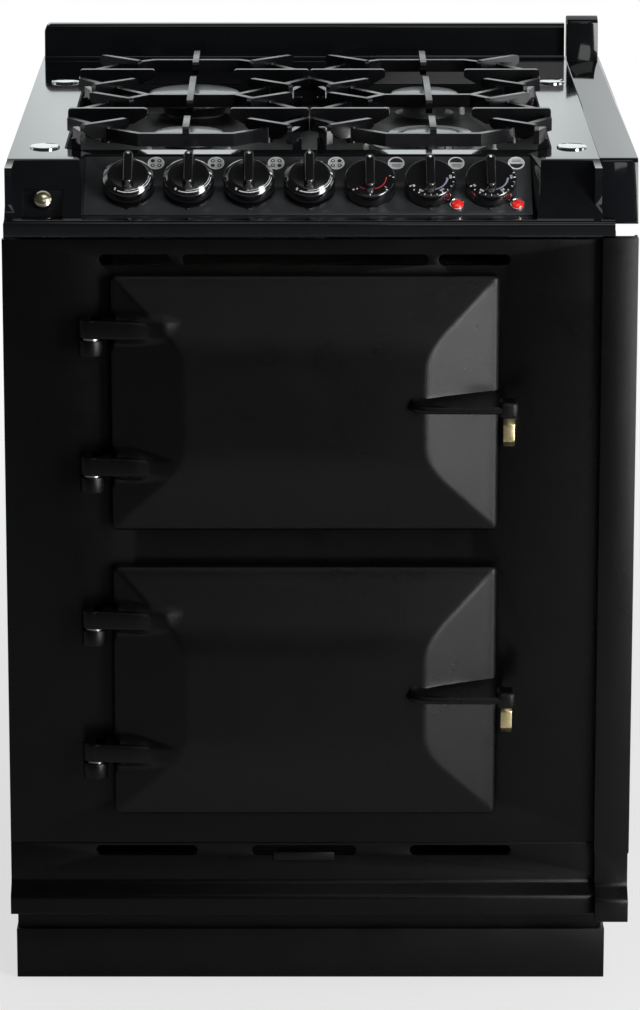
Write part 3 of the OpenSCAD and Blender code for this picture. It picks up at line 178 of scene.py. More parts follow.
# %% Lamps: large and soft
def soft_lamp(name, at, aim, width, height, brightness, tint=(1, 1, 1), spread=180):
    """An area lamp that the camera doesn't see. Brightness is that of its face, where 1 is white.

    A narrow spread keeps the light of a lamp off the floor. Blender then makes the face brighter to keep the
    energy, so the energy is lowered by the same share.
    """
    half = math.radians(spread) / 2
    share = 1.0 if spread >= 180 else (math.tan(half) - half) / math.tan(half)
    data = bpy.data.lights.new(name, "AREA")
    data.shape = "RECTANGLE"
    data.size = width
    data.size_y = height
    data.energy = brightness * math.pi * width * height * share
    data.color = tint
    data.spread = math.radians(spread)
    lamp = bpy.data.objects.new(name, data)
    lamp.location = at
    lamp.rotation_euler = (Vector(aim) - Vector(at)).to_track_quat("-Z", "Y").to_euler()
    lamp.visible_camera = False
    bpy.context.scene.collection.objects.link(lamp)


# Name, place, what it points at, width, height, brightness
soft_lamp("right_lamp", (1.45, -1.4, 1.0), (0, 0, 0.8), 0.75, 1.9, 19.0, spread=110)
soft_lamp("side_lamp", (2.1, 0.25, 0.95), (0, 0, 0.85), 0.9, 1.7, 2.4)
soft_lamp("front_lamp", (0.8, -4.2, 3.3), (0, 0, 0.9), 1.3, 0.8, 2.8)
soft_lamp("top_lamp", (0.35, -1.1, 3.1), (0, 0, 0.9), 1.6, 0.7, 1.8)
soft_lamp("back_lamp", (0.5, 3.4, 1.75), (0, 0.3, 0.85), 3.6, 1.7, 0.4, (0.82, 0.96, 1.0))
soft_lamp("left_lamp", (-2.6, 0.9, 1.5), (0, 0.3, 0.6), 0.9, 1.8, 1.4, (0.88, 0.97, 1.0))
bpy.context.scene.view_settings.view_transform = "Standard"

# %% [markdown]
# ## Effects that several finishes share
#
# Vitreous enamel is glass melted on to iron. Under a lamp it has a fine "orange peel", and it thins out
# along sharp edges. Each effect is a node group with named inputs, so that the doors, the hob and the knobs
# use the same group with their own values. A group puts out only a height, a mask or a value. The shader
# itself stays in the material.


# %% Making a group with named sockets
def effect(name, inputs, outputs):
    tree = bpy.data.node_groups.new(name, "ShaderNodeTree")
    for label, value in inputs.items():
        socket = tree.interface.new_socket(name=label, in_out="INPUT", socket_type="NodeSocketFloat")
        socket.default_value = value
    for label in outputs:
        tree.interface.new_socket(name=label, in_out="OUTPUT", socket_type="NodeSocketFloat")
    ins = tree.nodes.new("NodeGroupInput")
    outs = tree.nodes.new("NodeGroupOutput")
    ins.location, outs.location = (-900, 0), (700, 0)
    return tree, ins, outs


def per_metre(tree, size_socket, at):
    """Noise scale for lumps of a size given in millimetres."""
    made = add_node(tree, "ShaderNodeMath", at, operation="DIVIDE")
    made.inputs[0].default_value = 1000
    join(tree, (size_socket, made.inputs[1]))
    return made


print("helpers:", effect.__name__, per_metre.__name__)

# %% Orange peel: two sizes of shallow lumps
peel, ins, outs = effect("orange_peel", {"Lump mm": 3.0, "Fine share": 0.3}, ["Height"])
where = add_node(peel, "ShaderNodeTexCoord", (-900, 300))
big_scale = per_metre(peel, ins.outputs["Lump mm"], (-700, 0))
fine_scale = add_node(peel, "ShaderNodeMath", (-520, -220), operation="MULTIPLY")
fine_scale.inputs[1].default_value = 3.7
big = add_node(peel, "ShaderNodeTexNoise", (-300, 200), Detail=1.0, Roughness=0.4)
fine = add_node(peel, "ShaderNodeTexNoise", (-300, -150), Detail=2.0, Roughness=0.5)
blend = add_node(peel, "ShaderNodeMix", (100, 0), data_type="FLOAT")
join(
    peel,
    (where.outputs["Object"], big.inputs["Vector"]), (where.outputs["Object"], fine.inputs["Vector"]),
    (big_scale.outputs[0], big.inputs["Scale"]), (big_scale.outputs[0], fine_scale.inputs[0]),
    (fine_scale.outputs[0], fine.inputs["Scale"]), (ins.outputs["Fine share"], blend.inputs[0]),
    (big.outputs[0], blend.inputs[2]), (fine.outputs[0], blend.inputs[3]),
    (blend.outputs[0], outs.inputs["Height"]),
)
print("group:", peel.name)

# %% Edge rub: a mask that is 1 along sharp edges and 0 on flats
rub, ins, outs = effect("edge_rub", {"Width mm": 1.5, "Patchy": 0.5}, ["Mask"])
width = add_node(rub, "ShaderNodeMath", (-700, 0), operation="DIVIDE")
width.inputs[1].default_value = 1000
rounded_normal = add_node(rub, "ShaderNodeBevel", (-500, 0), samples=4)
flat_normal = add_node(rub, "ShaderNodeNewGeometry", (-500, -250))
same = add_node(rub, "ShaderNodeVectorMath", (-280, 0), operation="DOT_PRODUCT")
bend = add_node(rub, "ShaderNodeMapRange", (-80, 0))
bend.inputs["From Min"].default_value = 0.995
bend.inputs["From Max"].default_value = 0.8
where = add_node(rub, "ShaderNodeTexCoord", (-500, 300))
patches = add_node(rub, "ShaderNodeTexNoise", (-280, 300), Scale=90.0, Detail=3.0)
patch_level = add_node(rub, "ShaderNodeMapRange", (-80, 300))
patch_level.inputs["From Min"].default_value = 0.4
patch_level.inputs["From Max"].default_value = 0.65
broken = add_node(rub, "ShaderNodeMix", (160, 200), data_type="FLOAT")
broken.inputs[2].default_value = 1.0
mask = add_node(rub, "ShaderNodeMath", (400, 0), operation="MULTIPLY")
join(
    rub,
    (ins.outputs["Width mm"], width.inputs[0]), (width.outputs[0], rounded_normal.inputs["Radius"]),
    (rounded_normal.outputs[0], same.inputs[0]), (flat_normal.outputs["Normal"], same.inputs[1]),
    (same.outputs["Value"], bend.inputs["Value"]), (where.outputs["Object"], patches.inputs["Vector"]),
    (patches.outputs[0], patch_level.inputs["Value"]), (ins.outputs["Patchy"], broken.inputs[0]),
    (patch_level.outputs[0], broken.inputs[3]), (broken.outputs[0], mask.inputs[0]),
    (bend.outputs[0], mask.inputs[1]), (mask.outputs[0], outs.inputs["Mask"]),
)
print("group:", rub.name)

# %% Handling marks: slow changes of gloss, as from wiping
marks, ins, outs = effect("handling_marks", {"Size mm": 60.0, "Low": 0.2, "High": 0.35}, ["Value"])
where = add_node(marks, "ShaderNodeTexCoord", (-900, 300))
scale = per_metre(marks, ins.outputs["Size mm"], (-700, 100))
cloud = add_node(marks, "ShaderNodeTexNoise", (-400, 200), Detail=4.0, Roughness=0.6, Distortion=0.4)
gloss_range = add_node(marks, "ShaderNodeMapRange", (0, 0))
gloss_range.inputs["From Min"].default_value = 0.3
gloss_range.inputs["From Max"].default_value = 0.7
join(
    marks,
    (where.outputs["Object"], cloud.inputs["Vector"]), (scale.outputs[0], cloud.inputs["Scale"]),
    (cloud.outputs[0], gloss_range.inputs["Value"]), (ins.outputs["Low"], gloss_range.inputs["To Min"]),
    (ins.outputs["High"], gloss_range.inputs["To Max"]), (gloss_range.outputs[0], outs.inputs["Value"]),
)
print("group:", marks.name)

# %% Brushed lines: noise drawn out along one direction
lines, ins, outs = effect(
    "brushed_lines", {"Across mm": 0.4, "Stretch X": 1.0, "Stretch Y": 0.03, "Stretch Z": 1.0}, ["Height"])
where = add_node(lines, "ShaderNodeTexCoord", (-900, 300))
stretch = add_node(lines, "ShaderNodeCombineXYZ", (-700, -100))
stretched = add_node(lines, "ShaderNodeVectorMath", (-500, 200), operation="MULTIPLY")
scale = per_metre(lines, ins.outputs["Across mm"], (-500, 0))
streaks = add_node(lines, "ShaderNodeTexNoise", (-250, 100), Detail=2.0)
join(
    lines,
    (ins.outputs["Stretch X"], stretch.inputs[0]), (ins.outputs["Stretch Y"], stretch.inputs[1]),
    (ins.outputs["Stretch Z"], stretch.inputs[2]), (where.outputs["Object"], stretched.inputs[0]),
    (stretch.outputs[0], stretched.inputs[1]), (stretched.outputs[0], streaks.inputs["Vector"]),
    (scale.outputs[0], streaks.inputs["Scale"]), (streaks.outputs[0], outs.inputs["Height"]),
)
print("group:", lines.name)

# %% [markdown]
# ## Finishes
#
# Every finish is one material with its own Principled shader. The helper below makes a material with a
# height from one group, a gloss from another and, where the metal shows through at edges, a colour mixed by
# the edge mask. The values that are the same all over, such as coat or metal, are set on the shader itself.


# %% A helper for finishes
COAT_ROUGHNESS = 0.04
finishes = {}


def group_node(tree, group, at, **values):
    made = add_node(tree, "ShaderNodeGroup", at, node_tree=group)
    for label, value in values.items():
        made.inputs[label.replace("_", " ")].default_value = value
    return made


def finish(name, colour, shade, gloss, metal=0.0, coat=0.0, coat_ior=1.5, specular=0.5, height=None,
           depth=0.1, edge=None, mottle=60):
    """A material. Colour and shade mix in slow patches, gloss is a range of roughness, depth is in mm."""
    material = bpy.data.materials.new(name)
    material.use_nodes = True
    tree = material.node_tree
    shader = tree.nodes["Principled BSDF"]
    shader.inputs["Metallic"].default_value = metal
    shader.inputs["Coat Weight"].default_value = coat
    shader.inputs["Coat Roughness"].default_value = COAT_ROUGHNESS
    shader.inputs["Coat IOR"].default_value = coat_ior
    shader.inputs["Specular IOR Level"].default_value = specular
    wiped = group_node(tree, marks, (-700, 100), Size_mm=mottle, Low=gloss[0], High=gloss[1])
    patch = group_node(tree, marks, (-700, 350), Size_mm=mottle * 0.7, Low=0.0, High=1.0)
    tone = add_node(tree, "ShaderNodeMix", (-450, 350), data_type="RGBA")
    tone.inputs[6].default_value = (*colour, 1)
    tone.inputs[7].default_value = (*shade, 1)
    join(tree, (patch.outputs[0], tone.inputs[0]), (wiped.outputs[0], shader.inputs["Roughness"]))
    colour_out = tone.outputs[2]
    if edge:
        edge_colour, edge_mm = edge
        worn = group_node(tree, rub, (-700, 600), Width_mm=edge_mm, Patchy=0.6)
        bare = add_node(tree, "ShaderNodeMix", (-220, 350), data_type="RGBA")
        bare.inputs[7].default_value = (*edge_colour, 1)
        join(tree, (worn.outputs[0], bare.inputs[0]), (colour_out, bare.inputs[6]))
        colour_out = bare.outputs[2]
    join(tree, (colour_out, shader.inputs["Base Color"]))
    if height:
        group, values = height
        relief = group_node(tree, group, (-700, -200), **values)
        bump = add_node(tree, "ShaderNodeBump", (-300, -200), Strength=1.0, Distance=depth / 1000)
        join(tree, (relief.outputs[0], bump.inputs["Height"]), (bump.outputs[0], shader.inputs["Normal"]))
    finishes[name] = material


print("helpers:", group_node.__name__, finish.__name__)

# %% Enamels and paints
finish("black_enamel", (0.001, 0.001, 0.0012), (0.0014, 0.0014, 0.0016), (0.24, 0.34), specular=0.16,
       height=(peel, {"Lump_mm": 2.2, "Fine_share": 0.5}), depth=0.12)
finish("satin_enamel", (0.001, 0.001, 0.0012), (0.0014, 0.0014, 0.0016), (0.26, 0.33), specular=0.22,
       height=(peel, {"Lump_mm": 1.5, "Fine_share": 0.6}), depth=0.22)
finish("hob_enamel", (0.0036, 0.0039, 0.0048), (0.005, 0.0054, 0.0064), (0.06, 0.12), coat=1.0, coat_ior=1.3,
       specular=0.12, height=(peel, {"Lump_mm": 5.0, "Fine_share": 0.12}), depth=0.02, mottle=90)
finish("tray_enamel", (0.0016, 0.0016, 0.002), (0.0026, 0.0026, 0.0032), (0.4, 0.5), specular=0.15,
       height=(peel, {"Lump_mm": 2.0, "Fine_share": 0.5}), depth=0.05)
finish("panel_enamel", (0.022, 0.024, 0.026), (0.028, 0.03, 0.032), (0.3, 0.4), specular=0.4,
       height=(peel, {"Lump_mm": 0.8, "Fine_share": 0.5}), depth=0.02)
finish("side_paint", (0.012, 0.012, 0.0135), (0.017, 0.017, 0.019), (0.36, 0.48), specular=0.35,
       height=(peel, {"Lump_mm": 1.2, "Fine_share": 0.5}), depth=0.03, edge=((0.08, 0.08, 0.085), 0.8),
       mottle=120)
finish("plinth_paint", (0.003, 0.003, 0.0035), (0.0045, 0.0045, 0.005), (0.3, 0.42), specular=0.12,
       height=(peel, {"Lump_mm": 1.0, "Fine_share": 0.5}), depth=0.025, edge=((0.04, 0.04, 0.043), 0.8))
finish("oven_enamel", (0.02, 0.021, 0.025), (0.032, 0.033, 0.038), (0.14, 0.24), coat=0.3,
       height=(peel, {"Lump_mm": 2.2, "Fine_share": 0.4}), depth=0.03, edge=((0.12, 0.12, 0.13), 0.8))
finish("cast_black", (0.0016, 0.0017, 0.0022), (0.003, 0.0031, 0.004), (0.18, 0.28), specular=0.5,
       height=(peel, {"Lump_mm": 1.6, "Fine_share": 0.6}), depth=0.06)
# The burner caps are black enamel: their mid grey base colour is a painted reflection of the pale side behind
# the hob.
finish("cap_enamel", (0.1, 0.105, 0.108), (0.14, 0.146, 0.15), (0.26, 0.36), coat=0.5, specular=0.5,
       height=(peel, {"Lump_mm": 2.4, "Fine_share": 0.3}), depth=0.02)
print("finishes so far:", len(finishes))

# %% Metals
finish("galvanised", (0.46, 0.47, 0.48), (0.6, 0.61, 0.62), (0.35, 0.5), metal=1.0,
       height=(peel, {"Lump_mm": 6.0, "Fine_share": 0.3}), depth=0.02, mottle=14)
finish("bright_steel", (0.55, 0.55, 0.56), (0.66, 0.66, 0.67), (0.2, 0.32), metal=1.0,
       height=(lines, {"Across_mm": 0.5, "Stretch_X": 0.1, "Stretch_Y": 1.0}), depth=0.01)
finish("element_steel", (0.1, 0.09, 0.085), (0.17, 0.15, 0.13), (0.4, 0.55), metal=0.8,
       height=(peel, {"Lump_mm": 0.8, "Fine_share": 0.6}), depth=0.02, mottle=12)
finish("chrome", (0.72, 0.72, 0.73), (0.78, 0.78, 0.79), (0.06, 0.14), metal=1.0,
       height=(peel, {"Lump_mm": 3.0, "Fine_share": 0.1}), depth=0.005)
finish("brass", (0.5, 0.41, 0.22), (0.62, 0.52, 0.3), (0.25, 0.38), metal=1.0,
       height=(lines, {"Across_mm": 0.5, "Stretch_X": 0.05, "Stretch_Y": 1.0}), depth=0.02, mottle=10)
finish("button_brass", (0.66, 0.6, 0.42), (0.76, 0.7, 0.5), (0.18, 0.28), metal=1.0,
       height=(peel, {"Lump_mm": 2.0, "Fine_share": 0.4}), depth=0.03, mottle=6)
finish("burner_alloy", (0.2, 0.2, 0.205), (0.28, 0.28, 0.285), (0.36, 0.5), metal=1.0,
       height=(peel, {"Lump_mm": 1.0, "Fine_share": 0.6}), depth=0.03, mottle=16)
finish("pipe_alloy", (0.56, 0.56, 0.57), (0.66, 0.66, 0.67), (0.28, 0.4), metal=1.0,
       height=(lines, {"Across_mm": 0.5, "Stretch_X": 0.3, "Stretch_Y": 0.1}), depth=0.01)
print("finishes so far:", len(finishes))

# %% Plastics, ceramic, rope and wool
finish("knob_plastic", (0.0028, 0.0028, 0.0034), (0.0046, 0.0046, 0.0054), (0.14, 0.2), specular=0.5,
       coat=1.0, height=(peel, {"Lump_mm": 4.0, "Fine_share": 0.2}), depth=0.01, mottle=20)
finish("neon_lens", (0.62, 0.012, 0.01), (0.75, 0.03, 0.02), (0.1, 0.18), coat=0.5, mottle=4,
       height=(peel, {"Lump_mm": 1.5, "Fine_share": 0.4}), depth=0.05)
finish("white_ceramic", (0.78, 0.77, 0.73), (0.85, 0.84, 0.8), (0.2, 0.3), coat=0.3,
       height=(peel, {"Lump_mm": 2.0, "Fine_share": 0.4}), depth=0.01, mottle=12)
finish("rope_seal", (0.3, 0.29, 0.27), (0.45, 0.44, 0.4), (0.8, 0.95), specular=0.2,
       height=(lines, {"Across_mm": 1.6, "Stretch_X": 0.5, "Stretch_Y": 1.0, "Stretch_Z": 0.5}), depth=0.6,
       mottle=3)
# The mineral wool is coloured near black as painted shade, so that it looks dark through the vents.
finish("mineral_wool", (0.022, 0.02, 0.017), (0.04, 0.037, 0.031), (0.9, 1.0), specular=0.05,
       height=(lines, {"Across_mm": 1.2, "Stretch_X": 0.2, "Stretch_Y": 1.0, "Stretch_Z": 1.0}), depth=1.2,
       mottle=9)
finish("print_white", (0.62, 0.62, 0.62), (0.72, 0.72, 0.71), (0.35, 0.45), mottle=2)
finish("print_pale", (0.4, 0.42, 0.44), (0.5, 0.52, 0.54), (0.3, 0.4), mottle=2)
finish("print_silver", (0.4, 0.43, 0.43), (0.5, 0.53, 0.53), (0.3, 0.4), mottle=3)
finish("print_lilac", (0.17, 0.17, 0.24), (0.22, 0.22, 0.3), (0.4, 0.5), mottle=2)
finish("print_black", (0.008, 0.008, 0.009), (0.014, 0.014, 0.015), (0.4, 0.5), mottle=3)
finish("print_red", (0.55, 0.02, 0.02), (0.65, 0.04, 0.03), (0.4, 0.5), mottle=3)
print("finishes in all:", len(finishes))

# %% [markdown]
# ## Rounded edges on the CAD pieces
#
# The CAD solids have true sizes but razor-sharp edges, and no cast or pressed piece has those. Moving their
# vertices isn't allowed here, and it isn't needed: modifiers do the work when the scene is rendered. Weld
# joins the vertices that the file format split, Decimate merges the triangles of each flat face, and Bevel
# rounds what is left. A small geometry node group then shades the curved faces smooth and keeps the rest
# crisp.

# %% Node group that shades by the angle between faces
WELD_DISTANCE = 0.00002
SHARP_ANGLE = 32
by_angle = bpy.data.node_groups.new("shade_by_angle", "GeometryNodeTree")
by_angle.interface.new_socket(name="Geometry", in_out="INPUT", socket_type="NodeSocketGeometry")
by_angle.interface.new_socket(name="Geometry", in_out="OUTPUT", socket_type="NodeSocketGeometry")
ins = add_node(by_angle, "NodeGroupInput", (-800, 0))
outs = add_node(by_angle, "NodeGroupOutput", (600, 0))
weld = add_node(by_angle, "GeometryNodeMergeByDistance", (-600, 0), Distance=WELD_DISTANCE)
smooth = add_node(by_angle, "GeometryNodeSetShadeSmooth", (-300, 0), domain="FACE")
angle = add_node(by_angle, "GeometryNodeInputMeshEdgeAngle", (-300, -250))
sharp = add_node(by_angle, "FunctionNodeCompare", (-100, -250), operation="GREATER_THAN")
sharp.inputs[1].default_value = math.radians(SHARP_ANGLE)
crisp = add_node(by_angle, "GeometryNodeSetShadeSmooth", (200, 0), domain="EDGE")
crisp.inputs["Shade Smooth"].default_value = False
join(
    by_angle,
    (ins.outputs[0], weld.inputs["Geometry"]), (weld.outputs[0], smooth.inputs["Geometry"]),
    (angle.outputs["Unsigned Angle"], sharp.inputs[0]), (sharp.outputs[0], crisp.inputs["Selection"]),
    (smooth.outputs[0], crisp.inputs["Geometry"]), (crisp.outputs[0], outs.inputs[0]),
)
print("geometry nodes:", len(by_angle.nodes))


# %% Dressing a CAD node
FLAT_ANGLE, ROUNDED_ANGLE = 0.4, 35


def shade(piece):
    piece.modifiers.new("shade", "NODES").node_group = by_angle


def dress(name, finish_name=None, edge_mm=0.0):
    """Gives a CAD node its finish and, where edge_mm is set, rounded edges."""
    piece = nodes[name]
    piece.data.materials.clear()
    piece.data.materials.append(finishes[finish_name or slot_of[name]])
    if "custom_normal" in piece.data.attributes:
        piece.data.attributes.remove(piece.data.attributes["custom_normal"])
    if edge_mm:
        join_up = piece.modifiers.new("weld", "WELD")
        join_up.merge_threshold = WELD_DISTANCE
        flat = piece.modifiers.new("flat_faces", "DECIMATE")
        flat.decimate_type = "DISSOLVE"
        flat.angle_limit = math.radians(FLAT_ANGLE)
        rounding = piece.modifiers.new("rounding", "BEVEL")
        rounding.width = edge_mm / 1000
        rounding.segments = 2
        rounding.limit_method = "ANGLE"
        rounding.angle_limit = math.radians(ROUNDED_ANGLE)
        rounding.use_clamp_overlap = True
    shade(piece)


# Radius of the rounded edges in millimetres
EDGES = {
    "front_plate": 1.2, "skirt": 1.2, "side_post": 1.2, "hob_casting": 1.2, "side_strip": 1.5, "plinth": 0.5,
    "skirt_tab": 0.6, "hinge_brackets": 1.2, "door_catches": 0.8, "control_panel": 0.6, "knob_bezels": 0.4,
    "pan_support_left": 1.9, "pan_support_right": 1.9, "spill_tray": 0.5, "terminal_box": 0.8,
    "side_panel_left": 0.4, "side_panel_right": 0.4, "fan_motor": 0.8, "spark_generator": 0.8,
}
OTHER_FINISH = {"spill_tray": "tray_enamel"}
for name in nodes:
    dress(name, OTHER_FINISH.get(name), EDGES.get(name, 0.0))
print("dressed:", len(nodes), "with rounded edges:", len(EDGES))


# %% [markdown]
# ## Making new pieces
#
# Where a modifier isn't enough, a new mesh stands for the CAD node. It is written straight in the frame's
# metres, rides on the same body as the node, and hides the node.


def piece_from(name, points, faces, finish_name, body="root", stands_for=None):
    """Points are in millimetres."""
    mesh = bpy.data.meshes.new(name)
    mesh.from_pydata([Vector(p) / 1000 for p in points], [], faces)
    mesh.validate()
    bm = bmesh.new()
    bm.from_mesh(mesh)
    bmesh.ops.recalc_face_normals(bm, faces=bm.faces)
    bm.to_mesh(mesh)
    bm.free()
    mesh.materials.append(finishes[finish_name])
    piece = bpy.data.objects.new(name, mesh)
    bpy.context.scene.collection.objects.link(piece)
    shade(piece)
    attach(piece, body)
    if stands_for:
        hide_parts(stands_for)
    return piece


# %% [markdown]
# ## The doors
#
# Each door is a domed casting. Flat bevels rise from its left and right edges, and the middle is a shallow
# barrel from bottom to top, so the bevels end in a clean curved line. A height for every point of a grid
# gives this at once: the lower of the two forms, with a small blend where they meet. A subdivided box
# couldn't keep that line crisp.

# %% Sizes of a door, as in the CAD model
DOOR_X0, DOOR_W, DOOR_H = -195.0, 381.0, 258.0
DOOR_Z = {"door_bottom": 194.0, "door_top": 489.0}
RIM_BACK, RIM_FRONT = -5.0, -14.0
# Height of the dome in the middle and where its flat part starts, slope of the bevels, width of the flat rim
RISE, CAP, SLOPE, RIM_W = 29.2, 28.3, 0.42, 2


def soft_min(a, b, k):
    """The lower of a and b, blended over about k millimetres of height."""
    h = max(k - abs(a - b), 0.0) / k
    return min(a, b) - h * h * k / 4


def barrel(z):
    """Height of the dome from its lower or upper edge: a straight bevel, then a nearly flat middle."""
    e = min(z, DOOR_H - z)
    middle = CAP + (RISE - CAP) * (1 - (1 - 2 * e / DOOR_H) ** 2)
    return soft_min(SLOPE * (e - RIM_W), middle, 8.0)


def crown(x, z):
    """Height of the dome above the rim."""
    side = soft_min(SLOPE * (x - RIM_W), SLOPE * (DOOR_W - RIM_W - x), 2)
    return max(soft_min(side, barrel(z), 1.6), 0.0)


print("dome in the middle, mm:", round(crown(DOOR_W / 2, DOOR_H / 2), 2))

# %% Helpers that build shells from loops of points
def loft(points, faces, loops):
    """Joins loops with the same number of points by quads, and closes the ends."""
    n = len(loops[0])
    start = len(points)
    for ring in loops:
        points.extend(ring)
    for k in range(len(loops) - 1):
        a, b = start + k * n, start + (k + 1) * n
        faces.extend([(a + i, a + (i + 1) % n, b + (i + 1) % n, b + i) for i in range(n)])
    faces.append(tuple(start + i for i in reversed(range(n))))
    faces.append(tuple(start + (len(loops) - 1) * n + i for i in range(n)))


def inset(ring, d):
    """A closed flat outline moved inwards by d, corner by corner."""
    out = []
    n = len(ring)
    for i in range(n):
        p, q, s = (Vector(ring[(i + k) % n][:2]) for k in (-1, 0, 1))
        u, v = (q - p).normalized(), (s - q).normalized()
        normal = Vector((-(u + v).y, (u + v).x)).normalized()
        lean = max(normal.dot(Vector((-u.y, u.x))), 0.35)
        out.append(tuple(q + normal * d / lean))
    return out


def outline(x0, y0, x1, y1, r, steps=5):
    """Rectangle with round corners, anticlockwise."""
    ring = []
    corners = ((x1 - r, y0 + r, -90), (x1 - r, y1 - r, 0), (x0 + r, y1 - r, 90), (x0 + r, y0 + r, 180))
    for cx, cy, a0 in corners:
        for k in range(steps + 1):
            a = math.radians(a0 + 90 * k / steps)
            ring.append((cx + r * math.cos(a), cy + r * math.sin(a)))
    return ring


print("corner points of an outline:", len(outline(0, 0, 10, 10, 2)))

# %% [markdown]
# The rim of a door is rounded over 4.5 mm and its corners have a radius of 6 mm. The grid is square, so near
# each corner its points are pulled on to the arc. The hinge arms and the handle were cast in one with the
# door: they are bars of their own here, and the dome swells a little round each arm, as metal does in a
# mould.

# %% Grid of a door
EDGE_R, CORNER_R = 4.5, 6.0
ARM_H = 19.0
ARM_Z = (59.0 + ARM_H / 2, 197.0 + ARM_H / 2)
HANDLE_Z = 133.0
HINGE_OUT = 18.4  # from the left edge of a door out to the hinge axis
ARM_FRONT, ARM_RISE, ARM_RAMP = 15.5, 6.5, 58.0  # an arm's height at the axis, its gain, and over what length
ARM_SINKS, ARM_GONE = 22.0, 66.0  # where an arm begins to sink into the dome, and where it is just under it
SWELL_HALF, SWELL_START, SWELL_END = 5.5, 6, 84  # half of its flat width, and where it starts and ends
SWELL_BELOW, SWELL_RISE, SWELL_FALL, SWELL_STEEP = 4.0, 4.6, 9.0, 0.1
ROOT_RISE, ROOT_H, ROOT_X0, ROOT_X1 = 3.0, 12, 290.0, 304.0  # the fillet above the handle


def stops(length):
    """Distances across the door: close together at the rim and 2 mm apart inside."""
    near = [0, 0.15, 0.45, 0.9, 1.5, 2.2, 3.1, 4.2, 6.0]
    inner = length - 2 * near[-1]
    count = round(inner / 2.0)
    inside = [near[-1] + inner * k / count for k in range(1, count)]
    return near + inside + [length - v for v in reversed(near)]


def rounded_corner(x, z):
    """Pulls a point of the square grid on to the round corner of the rim."""
    cx = min(max(x, CORNER_R), DOOR_W - CORNER_R)
    cz = min(max(z, CORNER_R), DOOR_H - CORNER_R)
    dx, dz = x - cx, z - cz
    if dx == 0 or dz == 0:
        return x, z
    k = max(abs(dx), abs(dz)) / math.hypot(dx, dz)
    return cx + dx * k, cz + dz * k


def rim_distance(x, z):
    """Distance from the outline of the door, inwards."""
    cx = min(max(x, CORNER_R), DOOR_W - CORNER_R)
    cz = min(max(z, CORNER_R), DOOR_H - CORNER_R)
    if x != cx and z != cz:
        return CORNER_R - math.hypot(x - cx, z - cz)
    return min(x, z, DOOR_W - x, DOOR_H - z)


def ease(value, start, end):
    """0 before start, 1 after end, and a smooth step between."""
    t = min(max((value - start) / (end - start), 0.0), 1.0)
    return t * t * (3 - 2 * t)


def arm_front(x, zc):
    """Height of an arm's face above the rim, at x from the edge of the door. It ends just inside the dome."""
    straight = ARM_FRONT + ARM_RISE * min((x + HINGE_OUT) / ARM_RAMP, 1.0)
    sunk = ease(x, ARM_SINKS, ARM_GONE)
    return straight * (1 - sunk) + (crown(x, zc) - 0.8) * sunk


def swell(x, z):
    """The metal round the arms: low beside the free part, and level with the face where the arm ends."""
    best = 0.0
    gathered = ease(x, 6.0, 48.0)
    ended = ease(x, 52.0, 82.0)
    for zc in ARM_Z:
        beside = max(abs(z - zc) - SWELL_HALF, 0.0)
        top = arm_front(x, zc) - SWELL_BELOW + SWELL_RISE * gathered - SWELL_FALL * ended
        best = max(best, top - SWELL_STEEP * beside ** 2)
    return best


def handle_root(x, z):
    """The soft rise of the right bevel towards the upper side of the handle."""
    above = z - HANDLE_Z
    if above < 0 or above > ROOT_H or x < ROOT_X0:
        return 0.0
    rise = ROOT_RISE * (1 - above / ROOT_H) ** 2 * ease(x, ROOT_X0, ROOT_X1)
    return rise * (1 - ease(x, DOOR_W - 15, DOOR_W))


def door_height(x, z):
    """Height of the casting above the rim, with its arms' fillets and its rounded edge."""
    top = crown(x, z) + handle_root(x, z)
    fillet = swell(x, z) if x < SWELL_END else 0.0
    if x < SWELL_START:
        fillet *= x / SWELL_START
    h = -soft_min(-top, -fillet, 5.0)
    d = max(rim_distance(x, z), 0.0)
    if d < EDGE_R:
        return h - (EDGE_R - math.sqrt(EDGE_R ** 2 - (EDGE_R - d) ** 2))
    return h


print("grid lines across and up:", len(stops(DOOR_W)), len(stops(DOOR_H)))

# %% [markdown]
# A door is put together from its front grid, a rim and a flat back. The inside of the door, with its plug
# and rope seal, stays as the CAD model has it.


# %% Front, rim and back of a door
def door_shell(points, faces, z0):
    xs, zs = stops(DOOR_W), stops(DOOR_H)
    start = len(points)
    for z in zs:
        for x in xs:
            px, pz = rounded_corner(x, z)
            points.append((DOOR_X0 + px, RIM_FRONT - door_height(px, pz), z0 + pz))
    w = len(xs)
    for j in range(len(zs) - 1):
        for i in range(w - 1):
            a = start + j * w + i
            faces.append((a, a + 1, a + w + 1, a + w))
    border = [(0, i) for i in range(w)] + [(j, w - 1) for j in range(1, len(zs))]
    border += [(len(zs) - 1, i) for i in range(w - 2, -1, -1)] + [(j, 0) for j in range(len(zs) - 2, 0, -1)]
    front = [start + j * w + i for j, i in border]
    back_start = len(points)
    for index in front:
        x, _, z = points[index]
        points.append((x, RIM_BACK, z))
    n = len(front)
    back = [back_start + k for k in range(n)]
    faces.extend([(front[k], back[k], back[(k + 1) % n], front[(k + 1) % n]) for k in range(n)])
    faces.append(tuple(back))


print("points round a door:", 2 * (len(stops(DOOR_W)) + len(stops(DOOR_H))) - 4)

# %% [markdown]
# An arm is a round boss with a blind bore, which sits on the hinge pin, and a bar that runs over the left
# bevel and sinks into the dome. The handle is a fin that stands on the right bevel, with a block at its
# outer end.

# %% Hinge arm: a boss on the axis and a bar that sinks into the dome
HINGE_X, HINGE_Y, BOSS_R, BOSS_EDGE = -213.4, -17.0, 12.5, 2.0
BORE_R, BORE_DEPTH = 5.05, 13


